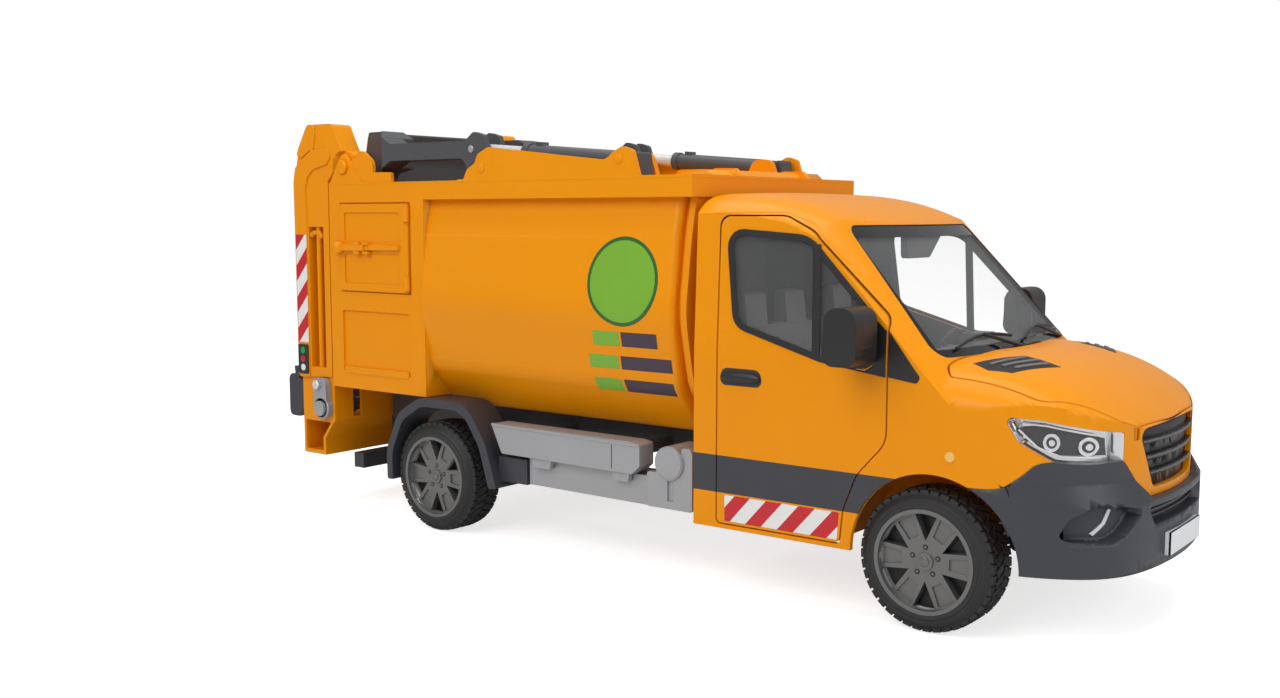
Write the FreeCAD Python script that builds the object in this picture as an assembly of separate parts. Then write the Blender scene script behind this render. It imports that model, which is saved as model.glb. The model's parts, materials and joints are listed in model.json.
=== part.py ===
import FreeCAD, Part
import math
import os

# Toy garbage truck on a van chassis, in millimetres.
# +X points forward, +Y to the truck's left and +Z up; z = 0 is the floor under the tyres.
# Every x below is counted from the front axle. The finished nodes are moved so that the
# origin lies in the middle of the bounding box, on the floor.

Vec = FreeCAD.Vector
OUT = "parts"
LEFT = 1
RIGHT = -1
SIDES = ((RIGHT, "right"), (LEFT, "left"))

# Overall layout
WHEELBASE = 229.0
OVERHANG_FRONT = 64.7
OVERHANG_REAR = 117.0
FRONT_AXLE_X = (WHEELBASE + OVERHANG_REAR - OVERHANG_FRONT) / 2
REAR_AXLE_X = -WHEELBASE
CAB_HALF = 63.0
BODY_HALF = 60.1
WALL = 2.0
GAP = 0.5
FIT = 0.05
SEAT = 0.3

# Wheels and axles
TYRE_R = 24.0
TYRE_W = 19.0
TYRE_OUTER_Y = CAB_HALF - 0.6
TYRE_INNER_Y = TYRE_OUTER_Y - TYRE_W
TYRE_SHOULDER_R = 3.0
RIM_R = 17.5
RIM_LIP = 1.4
RIM_DISH = 2.2
SPOKES = 6
SPOKE_HALF = (3.3, 4.4)
SPOKE_PANEL_HALF = (1.9, 2.9)
SPOKE_PANEL_D = 0.7
SPOKE_D = 3.2
WEB_T = 1.6
HUB_R = 6.4
HUB_CAP_R = 2.9
WHEEL_BORE_R = 2.6
AXLE_R = WHEEL_BORE_R - FIT
BEAM_R = 4.0
KINGPIN_Y = TYRE_OUTER_Y - 26.4
KINGPIN_R = 2.0
KNUCKLE_H = 12.0

# Cab skin
CAB_REAR_X = -90.8
CAB_BOTTOM_Z = 24.0
ROOF_Z = 144.9
ROOF_FLAT_X = -80.0
ROOF_FRONT_X = -32.0
ROOF_DROP = 12.2
ROOF_CROWN = 1.2
ROOF_SHOULDER = 9.5
SCREEN_TOP = (-33.0, 133.0)
SCREEN_FOOT = (9.0, 89.5)
SCREEN_BOW = 6.3
SCREEN_CORNER = 7.0
BONNET_Z = 92.0
BONNET_START_X = -10.0
BONNET_END_X = 57.0
BONNET_DROP = 20.5
BONNET_POWER = 3.26
BONNET_CROWN = 4.0
BONNET_FALL = 3.4
BONNET_SHOULDER = 8.0
SHOULDER_Z = 88.0
SHOULDER_R = 30.0
SHOULDER_TOP_Z = 150.0
SHOULDER_LEAN = 2.8
SKIN_STATIONS = 6
SKIN_DEPTH = 170.0
SKIN_SHARES = (0.3, 0.55, 0.74, 0.87, 0.95, 1.01, 1.07)
NOSE_SHARES = 24
NOSE_UPPER = ((8, 1), (27, 0.965), (41, 0.867), (52, 0.683), (57.6, 0.46), (60.2, 0.222), (61, 0))
NOSE_LOWER = ((8, 1), (27, 0.976), (42, 0.896), (54, 0.744), (59.8, 0.54), (62.6, 0.27), (63.4, 0))
TUCK_Z = (46.5, 53.0)

# Cab openings
NOSE_CUT_X = 12.0
LAMP_IN_Y = 0.587 * CAB_HALF
LAMP_T = 4.0
ARCH_C = (2.7, 24.5)
ARCH_R = 28.9
WELL_R = 33.6
LINER_T = 1.2
LINER_Z = 27.0
DOOR_REAR_X = -80.5
DOOR_FRONT_X = -13.7
DOOR_BOTTOM_Z = 26.0
DOOR_TOP_Z = 136.0
BELT_Z = (37.0, 50.5)
BELT_D = 0.8
GLASS_T = 1.2
DASH_FOOT_Z = 62.0
DASH_ROOM = 1.2
BUMPER_Z = (24.4, 62.0)
BUMPER_THICK = 6.0
FOG_D = 4.2
FOG = ((-0.9, 36.2, 2), (-0.871, 43.2, 4), (-0.8, 46.9, 4), (-0.648, 46.5, 3), (-0.5, 44.3, 1),
       (-0.629, 37.4, 4), (-0.711, 35.3, 4))
INTAKE = ((-0.46, 44.6, 1), (-0.39, 38.6, 1), (0.39, 38.6, 1), (0.46, 44.6, 1))
INTAKE_D = 3.2

# Chassis rails
RAIL_Y = (20.0, 25.0)
BODY_RAIL_Z = (40.0, 54.0)
CAB_RAIL_Z = (32.0, 42.0)

# Container
BODY_FRONT_X = -94.0
FLANGE_X = (-98.4, -95.8)
BARREL_FRONT_X = -101.4
BARREL_ROUND = 3.0
NECK_INSET = 4.0
BODY_REAR_X = REAR_AXLE_X - 68.0
BOX_FRONT_X = REAR_AXLE_X - 6.0
BOX_BOTTOM_Z = 58.0
BARREL_FLOOR_Z = 54.0
RAIL_Z = (143.0, 150.0)
ROOF_T = 1.2
HOPPER_FRONT_X = REAR_AXLE_X + 15.0
HOPPER_HALF = BODY_HALF - 5.1
HOPPER_RIM_T = 0.8

# Side gear between the axles
RAIL_OUT_Y = BODY_HALF + 0.7
TANK_X = -104.2
TANK_Z = 44.2
TANK_R = 6.4
TANK_IN_Y = RAIL_OUT_Y - 14.8

# Roof cylinders and packer arms
ARM_PIVOT = (REAR_AXLE_X + 27.0, 156.0)
CYL_Y = BODY_HALF - 9.1
CYL_BASE = (ARM_PIVOT[0] + 73.0, 157.0)
ROD_PIN = (ARM_PIVOT[0] - 7.0, 163.7)
BARREL_R = 3.6
BARREL_BORE_R = 2.6
ROD_R = BARREL_BORE_R - FIT
PIN_R = 1.5
EYE_PLAY = 0.45
BARREL_FROM_BASE = 54.0
ARM_OUT_Y = BODY_HALF - 3.3
ARM_IN_Y = BODY_HALF - 14.9
JOG_Y = BODY_HALF - 12.9
CHEEK_T = 2.0
CHEEK_IN_Y = (BODY_HALF - 18.1, BODY_HALF - 15.5)
FLAP_HALF = BODY_HALF - 13.1

# Tailgate
HINGE = (BODY_REAR_X + 10.3, 157.9)
HINGE_ROOM = 7.4
TOWER_IN_Y = BODY_HALF - 11.1
TOWER_REAR_X = BODY_REAR_X - 24.0
LIFT_AXIS = (BODY_REAR_X - 6.5, 47.2)
LIFT_SHAFT_R = 3.1
LIFT_HALF = TOWER_IN_Y - 1.5
LIFT_ARM_Y = LIFT_HALF - 3.7
TEETH = 12


def place2(axis, u, v, w):
    """Point whose section coordinates are u, v and whose place along the axis is w."""
    if axis == "x":
        return Vec(w, u, v)
    if axis == "y":
        return Vec(u, w, v)
    return Vec(u, v, w)


def rounded_wire(points, axis, at):
    """Closed outline through corners (u, v) or (u, v, radius) across an axis."""
    flat = [(p[0], p[1], p[2] if len(p) > 2 else 0.0) for p in points]
    edges = []
    starts = []
    ends = []
    mids = []
    count = len(flat)
    for i, (u, v, r) in enumerate(flat):
        pu, pv = flat[i - 1][:2]
        nu, nv = flat[(i + 1) % count][:2]
        if r <= 0:
            starts.append((u, v))
            ends.append((u, v))
            mids.append(None)
            continue
        a = (pu - u, pv - v)
        b = (nu - u, nv - v)
        la = math.hypot(*a)
        lb = math.hypot(*b)
        a = (a[0] / la, a[1] / la)
        b = (b[0] / lb, b[1] / lb)
        half = math.acos(max(-1.0, min(1.0, a[0] * b[0] + a[1] * b[1]))) / 2
        back = min(r / math.tan(half), 0.49 * la, 0.49 * lb)
        r = back * math.tan(half)
        s = (u + a[0] * back, v + a[1] * back)
        e = (u + b[0] * back, v + b[1] * back)
        c = (a[0] + b[0], a[1] + b[1])
        lc = math.hypot(*c)
        reach = r / math.sin(half) - r
        starts.append(s)
        ends.append(e)
        mids.append((u + c[0] / lc * reach, v + c[1] / lc * reach))
    for i in range(count):
        if mids[i]:
            edges.append(Part.Arc(place2(axis, *starts[i], at), place2(axis, *mids[i], at),
                                  place2(axis, *ends[i], at)).toShape())
        s = place2(axis, *ends[i], at)
        e = place2(axis, *starts[(i + 1) % count], at)
        if s.distanceToPoint(e) > 1e-6:
            edges.append(Part.LineSegment(s, e).toShape())
    return Part.Wire(edges)


def shifted(points, du):
    """Outline moved along its first coordinate."""
    return [(u + du, v, *rest) for u, v, *rest in points]


def prism(points, axis, lo, hi):
    """Solid with a rounded outline, from lo to hi along an axis."""
    face = Part.Face(rounded_wire(points, axis, lo))
    return face.extrude(place2(axis, 0, 0, hi - lo))


def box(x0, x1, y0, y1, z0, z1):
    return Part.makeBox(x1 - x0, y1 - y0, z1 - z0, Vec(x0, y0, z0))


def rod(axis, radius, u, v, lo, hi):
    """Round bar along an axis, centred on section coordinates u, v."""
    lo, hi = min(lo, hi), max(lo, hi)
    return Part.makeCylinder(radius, hi - lo, place2(axis, u, v, lo), place2(axis, 0, 0, 1))


def band(y0, y1, side):
    """The y range between two half widths, on one side."""
    return (side * y0, side * y1) if side * y0 < side * y1 else (side * y1, side * y0)


def fuse(*shapes):
    """One shape from several that touch or overlap."""
    out = shapes[0]
    if len(shapes) > 1:
        out = out.multiFuse(list(shapes[1:]))
    return out.removeSplitter()


def mirrored(shape):
    return shape.mirror(Vec(0, 0, 0), Vec(0, 1, 0))


def save(name, shape):
    moved = shape.copy()
    moved.translate(Vec(FRONT_AXLE_X, 0, 0))
    moved.exportStep(os.path.join(OUT, name + ".step"))
    print(name, len(moved.Solids), round(moved.Volume, 1), moved.isValid())


# Cab skin

def roof_height(x, y):
    ahead = max(0.0, x - ROOF_FLAT_X) / (ROOF_FRONT_X - ROOF_FLAT_X)
    side = y / CAB_HALF
    return ROOF_Z - ROOF_DROP * ahead ** 2 - ROOF_CROWN * side ** 2 - ROOF_SHOULDER * side ** 10


def screen_height(x, y):
    slope = (SCREEN_TOP[1] - SCREEN_FOOT[1]) / (SCREEN_FOOT[0] - SCREEN_TOP[0])
    side = y / CAB_HALF
    bow = SCREEN_BOW * side ** 2 + SCREEN_CORNER * side ** 8
    return SCREEN_FOOT[1] - slope * (x - SCREEN_FOOT[0] + bow)


def bonnet_height(x, y):
    run = max(0.0, x - BONNET_START_X) / (BONNET_END_X - BONNET_START_X)
    side = y / CAB_HALF
    fall = BONNET_CROWN * side ** 2 + BONNET_FALL * side ** 4 + BONNET_SHOULDER * side ** 14
    return BONNET_Z - BONNET_DROP * run ** BONNET_POWER - fall


def under(height, x0, x1, drop):
    """Solid below a curved height field that has been lowered by drop."""
    grid = []
    shares = [-share for share in reversed(SKIN_SHARES)] + [0] + list(SKIN_SHARES)
    for i in range(SKIN_STATIONS + 1):
        x = x0 + (x1 - x0) * i / SKIN_STATIONS
        grid.append([Vec(x, share * CAB_HALF, height(x, share * CAB_HALF) - drop) for share in shares])
    surface = Part.BSplineSurface()
    surface.interpolate(grid)
    return surface.toShape().extrude(Vec(0, 0, -SKIN_DEPTH))


def plan_wire(inset, nose, z):
    """Cab plan at one height; nose lists x and the share of the half width, from the side in."""
    near = [(x, -share * CAB_HALF) for x, share in nose]
    far = [(x, share * CAB_HALF) for x, share in reversed(nose[:-1])]
    ends = {"InitialTangent": Vec(1, 0, 0), "FinalTangent": Vec(-1, 0, 0)}
    base = Part.BSplineCurve()
    base.interpolate(Points=[Vec(x, y, z) for x, y in near + far], **ends)
    pts = []
    for k in range(NOSE_SHARES + 1):
        share = base.FirstParameter + (base.LastParameter - base.FirstParameter) * k / NOSE_SHARES
        ahead = base.tangent(share)[0]
        pts.append(base.value(share) + Vec(-ahead.y, ahead.x, 0) * inset)
    curve = Part.BSplineCurve()
    curve.interpolate(Points=pts, **ends)
    rear = CAB_REAR_X + inset
    a = Vec(rear, pts[0].y, z)
    b = Vec(rear, pts[-1].y, z)
    return Part.Wire([Part.LineSegment(a, pts[0]).toShape(), curve.toShape(),
                      Part.LineSegment(pts[-1], b).toShape(), Part.LineSegment(b, a).toShape()])


def plan_prism(inset, nose, z0, z1):
    return Part.Face(plan_wire(inset, nose, z0)).extrude(Vec(0, 0, z1 - z0))


def across(points):
    """Front-view outline whose y values are given as shares of the cab's half width."""
    return [(share * CAB_HALF, *rest) for share, *rest in points]


def section_prism(inset, x0, x1):
    """Front view of the cab: upright sides that lean in above the shoulder."""
    half = CAB_HALF - inset
    top = half - SHOULDER_LEAN
    pts = [(-half, 0), (half, 0), (half, SHOULDER_Z, SHOULDER_R), (top, SHOULDER_TOP_Z),
           (-top, SHOULDER_TOP_Z), (-half, SHOULDER_Z, SHOULDER_R)]
    return prism(pts, "x", x0, x1)


def cab_solid(inset, bottom):
    """Everything inside the cab's skin, moved in by inset."""
    roof = under(roof_height, -100, 20, inset * 1.05)
    screen = under(screen_height, -100, 40, inset * 1.44)
    bonnet = under(bonnet_height, -14, 66, inset * 1.15)
    plan = plan_prism(inset, NOSE_UPPER, bottom, 160)
    block = plan.common(section_prism(inset, CAB_REAR_X + inset, 80))
    return block.common(roof).common(screen).fuse(block.common(bonnet))


def door_outline(grow):
    """Door edge in side view, larger by grow on every side."""
    g = grow
    return [(DOOR_REAR_X - g, DOOR_BOTTOM_Z - g, 2), (-30.5 + g, DOOR_BOTTOM_Z - g, 2),
            (-29.4 + g, 37.2, 8), (-24.5 + g, 50.0, 14), (DOOR_FRONT_X + g, 62.0, 10),
            (DOOR_FRONT_X + g, 102.0 + g, 8), (-43.0 + g, 130.5 + g, 16),
            (-55.0, DOOR_TOP_Z + g, 10), (DOOR_REAR_X - g, DOOR_TOP_Z + g, 4)]


def window_outline(grow):
    g = grow
    return [(-76.8 - g, 130.8 + g, 5), (-73.0 - g, 98.0 - g, 6), (-38.0, 88.0 - g, 18),
            (-18.2 + g, 86.6 - g, 4), (-20.5 + g, 104.0, 6), (-44.5, 128.6 + g, 12)]


def screen_outline(grow):
    """Windscreen edge in front view."""
    g = grow
    foot = CAB_HALF - 7.1
    top = CAB_HALF - 14.8
    return [(-foot - g, 90.3 - g, 4), (foot + g, 90.3 - g, 4), (top + g, 132.8 + g, 5), (-top - g, 132.8 + g, 5)]


def bonnet_outline(grow):
    """Bonnet edge from above."""
    g = grow
    side = CAB_HALF - 6.8
    corner = 0.6 * CAB_HALF
    mid = 0.484 * CAB_HALF
    return [(3.6 - g, -side - g, 3), (36.0, -side - g, 8), (53.6 + g, -corner - g, 5), (56.9 + g, -mid, 12),
            (58.6 + g, 0, 90), (56.9 + g, mid, 12), (53.6 + g, corner + g, 5), (36.0, side + g, 8),
            (3.6 - g, side + g, 3), (11.0 - g, 0, 120)]


def lamp_outline(grow):
    """Headlamp edge in side view."""
    g = grow
    return [(25.6 - g, 74.0 + g, 1.5), (30.4, 66.0 - g, 6), (39.0, 60.6 - g, 4), (48.0, 59.7 - g, 8),
            (56.4 + g, 60.4 - g, 1.2), (54.9 + g, 69.0 + g, 1.2), (45.7, 71.3 + g, 20), (36.0, 73.5 + g, 10)]


def grille_outline(grow):
    """Grille opening in front view."""
    g = grow
    top = 0.473 * CAB_HALF
    foot = 0.32 * CAB_HALF
    return [(-top - g, 69.2 + g, 3), (-foot - g, 49.6 - g, 4), (foot + g, 49.6 - g, 4), (top + g, 69.2 + g, 3)]


def bumper_edge(drop):
    """Lower edge of the painted nose in front view, from side to side, lowered by drop."""
    half = [(1.11, 50.4), (0.976, 50.8, 2), (0.915, 60.6, 3), (0.586, 60.4, 3), (0.4, 47.0, 4)]
    whole = [(-share, *rest) for share, *rest in half] + list(reversed(half))
    return [(y, z - drop, *r) for y, z, *r in across(whole)]


OUTER = cab_solid(0.0, CAB_BOTTOM_Z)
INNER = cab_solid(WALL, CAB_BOTTOM_Z - 10)
SHELL = OUTER.cut(INNER)


def side_slab(side):
    """Space that holds one side's door."""
    return band(32.0, 80.0, side)


def lamp_block(side, grow):
    """Space that holds one headlamp."""
    return prism(lamp_outline(grow), "y", *band(LAMP_IN_Y - grow, 80.0, side))


def arch_cut():
    """Both front wheel arches, cut square through the skin."""
    return rod("y", ARCH_R, *ARCH_C, -90, 90)


def belt_band(side, deep):
    """Slab of the trim band on one flank, deep millimetres into the skin."""
    y0, y1 = band(CAB_HALF - deep, CAB_HALF + 5, side)
    return box(CAB_REAR_X - 5, -5, y0, y1, *BELT_Z)


def rail_notch():
    """Room for the chassis rails at the foot of the cab's rear wall."""
    return box(CAB_REAR_X - 5, -80, -RAIL_Y[1] - 1, RAIL_Y[1] + 1, 0, CAB_RAIL_Z[1])


def make_cab():
    body = SHELL
    for side, _ in SIDES:
        y0, y1 = side_slab(side)
        body = body.cut(prism(door_outline(GAP), "y", y0, y1))
        body = body.cut(lamp_block(side, 0.1))
        body = body.cut(belt_band(side, BELT_D))
    body = body.cut(prism(screen_outline(0.1), "x", -60, 40))
    body = body.cut(prism(bonnet_outline(GAP), "z", 66, 120))
    body = body.cut(arch_cut())
    nose = prism([(-80, 0), (80, 0)] + list(reversed(bumper_edge(0))), "x", NOSE_CUT_X, 80)
    body = body.cut(nose.common(box(NOSE_CUT_X, 80, -80, 80, 0, 62)))
    body = body.cut(prism(grille_outline(0.1), "x", 40, 80)).cut(rail_notch())
    save("cab_shell", body)


def make_belt():
    """Trim band behind and in front of each door."""
    pieces = []
    for side, _ in SIDES:
        y0, y1 = side_slab(side)
        strip = OUTER.common(belt_band(side, BELT_D))
        strip = strip.cut(prism(door_outline(GAP), "y", y0, y1)).cut(arch_cut())
        pieces += strip.Solids
    save("belt_trim", Part.makeCompound(pieces))


def make_doors():
    for side, name in SIDES:
        y0, y1 = side_slab(side)
        door = SHELL.common(prism(door_outline(0), "y", y0, y1))
        door = door.cut(prism(window_outline(0), "y", y0, y1))
        band_piece = OUTER.common(belt_band(side, BELT_D)).common(prism(door_outline(0), "y", y0, y1))
        door = door.cut(belt_band(side, BELT_D))
        save("door_" + name, door)
        save("door_trim_" + name, band_piece)
        pane = SHELL.common(prism(window_outline(-0.05), "y", y0, y1))
        save("door_window_" + name, pane)


def make_front():
    bonnet = SHELL.common(prism(bonnet_outline(0), "z", 66, 120))
    for side, _ in SIDES:
        bonnet = bonnet.cut(lamp_block(side, GAP))
    bonnet = bonnet.cut(prism(grille_outline(GAP), "x", 40, 80))
    bonnet = bonnet.cut(prism(screen_outline(GAP + 1), "x", -60, 40).common(box(-60, 40, -70, 70, 91, 140)))
    save("bonnet", bonnet)
    glass = cab_solid(0.3, CAB_BOTTOM_Z).cut(cab_solid(0.3 + GLASS_T, CAB_BOTTOM_Z - 10))
    glass = glass.common(prism(screen_outline(0.0), "x", -60, 40))
    glass = glass.cut(prism(bonnet_outline(GAP + 0.2), "z", 60, 120))
    save("windscreen", glass)
    thick = OUTER.cut(cab_solid(LAMP_T, CAB_BOTTOM_Z - 10))
    lamps = []
    for side, _ in SIDES:
        lamps += thick.common(lamp_block(side, 0.0)).Solids
    save("headlamps", Part.makeCompound(lamps))
    hole = prism(grille_outline(0.0), "x", 40, 80)
    plate = cab_solid(WALL + 0.1, CAB_BOTTOM_Z).cut(cab_solid(WALL + 1.8, CAB_BOTTOM_Z - 10))
    plate = plate.common(prism(grille_outline(2.0), "x", 40, 80)).common(box(40, 80, -40, 40, 46.0, 69.2))
    front = cab_solid(0.4, CAB_BOTTOM_Z).cut(cab_solid(WALL + DASH_ROOM, CAB_BOTTOM_Z - 10)).common(hole)
    parts = [plate]
    for z in (53.6, 58.9, 64.2):
        parts.append(front.common(box(40, 80, -40, 40, z, z + 1.5)))
    save("grille", fuse(*parts))


def bumper_solid(inset):
    """Bumper body: the lower nose plan, drawn in to the upper one below the headlamps."""
    low, high = TUCK_Z
    z0, z1 = BUMPER_Z
    foot = plan_wire(inset, NOSE_LOWER, low)
    brow = plan_wire(inset, NOSE_UPPER, high)
    parts = [plan_prism(inset, NOSE_LOWER, z0, low), Part.makeLoft([foot, brow], True, True),
             plan_prism(inset, NOSE_UPPER, high, z1)]
    return fuse(*parts).common(box(NOSE_CUT_X + 0.2, 70, -80, 80, z0, z1))


def make_bumper():
    low, high = BUMPER_Z
    outer = bumper_solid(0)
    cavity = bumper_solid(WALL).cut(box(0, 70, -80, 80, low - 1, low + WALL))
    cavity = cavity.fuse(box(0, 28, WALL - CAB_HALF, CAB_HALF - WALL, low - 1, high + 1))
    skin = outer.cut(cavity)
    deep = outer.cut(bumper_solid(BUMPER_THICK))
    skin = skin.fuse(deep.common(box(42, 70, -60, 60, 34.0, 48.6)))
    sky = [(-80, 80), (80, 80)]
    below = prism(sky + list(reversed(bumper_edge(0.1))), "x", 0, 80)
    lip = prism(sky + list(reversed(bumper_edge(1.7))), "x", 42, 80).common(deep)
    skin = skin.fuse(lip).cut(below).cut(arch_cut())
    fog = prism(across(FOG), "x", 38, 80).cut(bumper_solid(FOG_D))
    intake = prism(across(INTAKE), "x", 55, 80).cut(bumper_solid(INTAKE_D))
    skin = skin.cut(fog).cut(mirrored(fog)).cut(intake)
    for side, _ in SIDES:
        skin = skin.cut(lamp_block(side, 0.1))
    save("front_bumper", skin.removeSplitter())
    plate = box(61.0, OVERHANG_FRONT, -16.5, 16.5, 27.2, 34.6)
    save("number_plate", plate.cut(plan_prism(-0.1, NOSE_LOWER, 20, 40)))


def make_interior():
    floor_z = CAB_RAIL_Z[1] + 2.0
    inner = CAB_HALF - WALL - 0.4
    floor = box(CAB_REAR_X + WALL, -20, -inner, inner, floor_z - 2, floor_z)
    wall = box(-24.0, -22.0, -inner, inner, floor_z - 2, DASH_FOOT_Z)
    sill = box(CAB_REAR_X + WALL, -84, -inner, inner, CAB_BOTTOM_Z + 2, floor_z)
    floor = fuse(floor, sill, wall).cut(rail_notch())
    room = cab_solid(WALL + 0.1, CAB_BOTTOM_Z - 10).common(box(-40, 50, -70, 70, LINER_Z, 70))
    for side, _ in SIDES:
        y0, y1 = band(KINGPIN_Y - 4.4, 64.0, side)
        floor = floor.cut(rod("y", WELL_R, *ARCH_C, y0, y1))
        liner = rod("y", WELL_R + LINER_T, *ARCH_C, y0, y1)
        y0, y1 = band(KINGPIN_Y - 3.2, 65.0, side)
        floor = floor.fuse(liner.common(room).cut(rod("y", WELL_R, *ARCH_C, y0, y1)).cut(
            box(-40, 50, *band(0, KINGPIN_Y - 3.2, side), 0, TYRE_R + KNUCKLE_H)))
    save("cab_floor", floor.removeSplitter())
    dash = prism([(-24.0, DASH_FOOT_Z), (-28.0, 68, 2), (-27.5, 84, 3), (-15.0, 90, 3), (0, 90), (0, 87),
                  (-20.0, 84, 2), (-20.0, DASH_FOOT_Z)], "y", 11 - CAB_HALF, CAB_HALF - 11)
    post = Vec(-24.6, 30, 78)
    axis = Vec(-0.86, 0, 0.5)
    dash = dash.common(cab_solid(WALL + DASH_ROOM, 20)).cut(Part.makeCylinder(1.3 + FIT, 20, post, axis))
    save("dashboard", dash)
    ring = Part.makeTorus(8.5, 0.9, Vec(-36, 30, 84.6), axis)
    column = Part.makeCylinder(1.3, 14.4, post, axis)
    cross = box(-37, -35, 22.0, 38.0, 84.0, 85.4)
    save("steering_wheel", fuse(ring, column, cross))

    def seat(y0, y1, backs):
        base = box(-80, -50, y0, y1, 44.0, 52.0)
        cushion = prism([(-80, 52), (-48, 52, 2), (-46, 60, 3), (-80, 58)], "y", y0, y1)
        rest = prism([(-80, 57), (-70, 57, 2), (-79, 96, 3), (-86, 96, 2)], "y", y0 + 1, y1 - 1)
        out = [base, cushion, rest]
        for y in backs:
            out.append(prism([(-85.5, 95), (-79.5, 95), (-81, 108, 2), (-86, 108, 2)], "y", y - 7, y + 7))
        return fuse(*out)

    save("driver_seat", seat(12, 42, (27,)))
    save("passenger_bench", seat(-50, 4, (-38, -10)))
    foot = CAB_RAIL_Z[1]
    engine = prism([(4, foot), (44, foot), (46, 62, 4), (30, 74, 4), (10, 80, 4), (4, 72, 3)], "y", -22, 22)
    save("engine_block", engine)


def make_mirrors():
    for side, name in SIDES:
        y0, y1 = band(66.5, 81.0, side)
        head = prism([(-28.0, 88.0, 4), (-15.6, 88.0, 4), (-15.6, 107.0, 5), (-27, 107.0, 5)], "y", y0, y1)
        y0, y1 = band(CAB_HALF - 3.0, 67.5, side)
        arm = prism([(-24.0, 88.5, 1), (-17.0, 88.5, 1), (-18.0, 95.0, 2), (-24.0, 95.0, 2)], "y", y0, y1)
        save("mirror_" + name, fuse(head, arm).cut(OUTER))


def wheel_spoke(half, r0, r1, y0, y1):
    """Tapered bar standing up from the wheel's centre."""
    return prism([(-half[0], r0), (half[0], r0), (half[1], r1), (-half[1], r1)], "y", y0, y1)


def make_wheels():
    w = TYRE_W / 2
    section = [(RIM_R, -w), (TYRE_R - 4.5, -w, 2), (TYRE_R, -w + 3.5, TYRE_SHOULDER_R),
               (TYRE_R, w - 3.5, TYRE_SHOULDER_R), (TYRE_R - 4.5, w, 2), (RIM_R, w)]
    face_y = TYRE_OUTER_Y - RIM_DISH
    back_y = face_y - SPOKE_D
    for axle, x in (("front", 0.0), ("rear", REAR_AXLE_X)):
        for side, name in SIDES:
            tyre = Part.Face(rounded_wire(section, "x", 0)).revolve(Vec(0, 0, 0), Vec(0, 0, 1), 360)
            tyre.rotate(Vec(0, 0, 0), Vec(1, 0, 0), 90)
            tyre.translate(Vec(x, side * (TYRE_INNER_Y + w), TYRE_R))
            save("tyre_%s_%s" % (axle, name), tyre)
            inner_r = RIM_R - RIM_LIP
            y0, y1 = band(TYRE_INNER_Y, TYRE_OUTER_Y, side)
            parts = [rod("y", RIM_R, 0, 0, y0, y1).cut(rod("y", inner_r, 0, 0, y0, y1))]
            parts.append(rod("y", inner_r + 0.2, 0, 0, *band(back_y - WEB_T, back_y, side)))
            parts.append(rod("y", HUB_R, 0, 0, *band(TYRE_INNER_Y + 3, face_y, side)))
            parts.append(rod("y", HUB_CAP_R, 0, 0, *band(face_y - 1, face_y + 0.7, side)))
            panels = []
            for k in range(SPOKES):
                turn = (k + 0.5) * 360.0 / SPOKES
                spoke = wheel_spoke(SPOKE_HALF, HUB_R - 1.5, inner_r + 0.2, *band(back_y - 0.2, face_y, side))
                panel = wheel_spoke(SPOKE_PANEL_HALF, HUB_R + 2.0, inner_r - 1.0,
                                    *band(face_y - SPOKE_PANEL_D, face_y + 1, side))
                for shape, pile in ((spoke, parts), (panel, panels)):
                    shape.rotate(Vec(0, 0, 0), Vec(0, 1, 0), turn)
                    pile.append(shape)
            rim = fuse(*parts).cut(Part.makeCompound(panels))
            rim = rim.cut(rod("y", WHEEL_BORE_R, 0, 0, *band(TYRE_INNER_Y - 5, face_y - 1.6, side)))
            rim.translate(Vec(x, 0, TYRE_R))
            save("rim_%s_%s" % (axle, name), rim)


def make_axles():
    stub = TYRE_OUTER_Y - RIM_DISH - 1.6 - SEAT
    beam_end = TYRE_INNER_Y - 0.5
    beam = rod("y", BEAM_R, REAR_AXLE_X, TYRE_R, -beam_end, beam_end)
    axle = fuse(beam, rod("y", AXLE_R, REAR_AXLE_X, TYRE_R, -stub, stub),
                Part.makeSphere(2 * BEAM_R, Vec(REAR_AXLE_X, 0, TYRE_R)))
    save("rear_axle", axle)
    half_h = KNUCKLE_H / 2
    low = TYRE_R - half_h
    high = TYRE_R + half_h
    tab = 2.4
    front = box(-4, 4, -KINGPIN_Y + 5, KINGPIN_Y - 5, TYRE_R - 3, TYRE_R + 3)
    for side, _ in SIDES:
        for z0 in (low - 0.1 - tab, high + 0.1):
            front = front.fuse(box(-4, 4, *band(KINGPIN_Y - 9, KINGPIN_Y + 3, side), z0, z0 + tab))
        front = front.fuse(box(-4, 4, *band(KINGPIN_Y - 9, KINGPIN_Y - 5, side), low - tab, high + tab))
        front = front.fuse(rod("z", KINGPIN_R, 0, side * KINGPIN_Y, low - tab, high + tab))
    save("front_axle", front.removeSplitter())
    for side, name in SIDES:
        block = rod("z", 4.0, 0, side * KINGPIN_Y, low, high)
        arm = box(-3.5, 3.5, *band(KINGPIN_Y, beam_end, side), TYRE_R - 3.5, TYRE_R + 3.5)
        block = fuse(block, arm, rod("y", AXLE_R, 0, TYRE_R, *band(KINGPIN_Y + 3, stub, side)))
        block = block.cut(rod("z", KINGPIN_R + FIT, 0, side * KINGPIN_Y, 0, 60))
        save("knuckle_" + name, block.removeSplitter())


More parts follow.
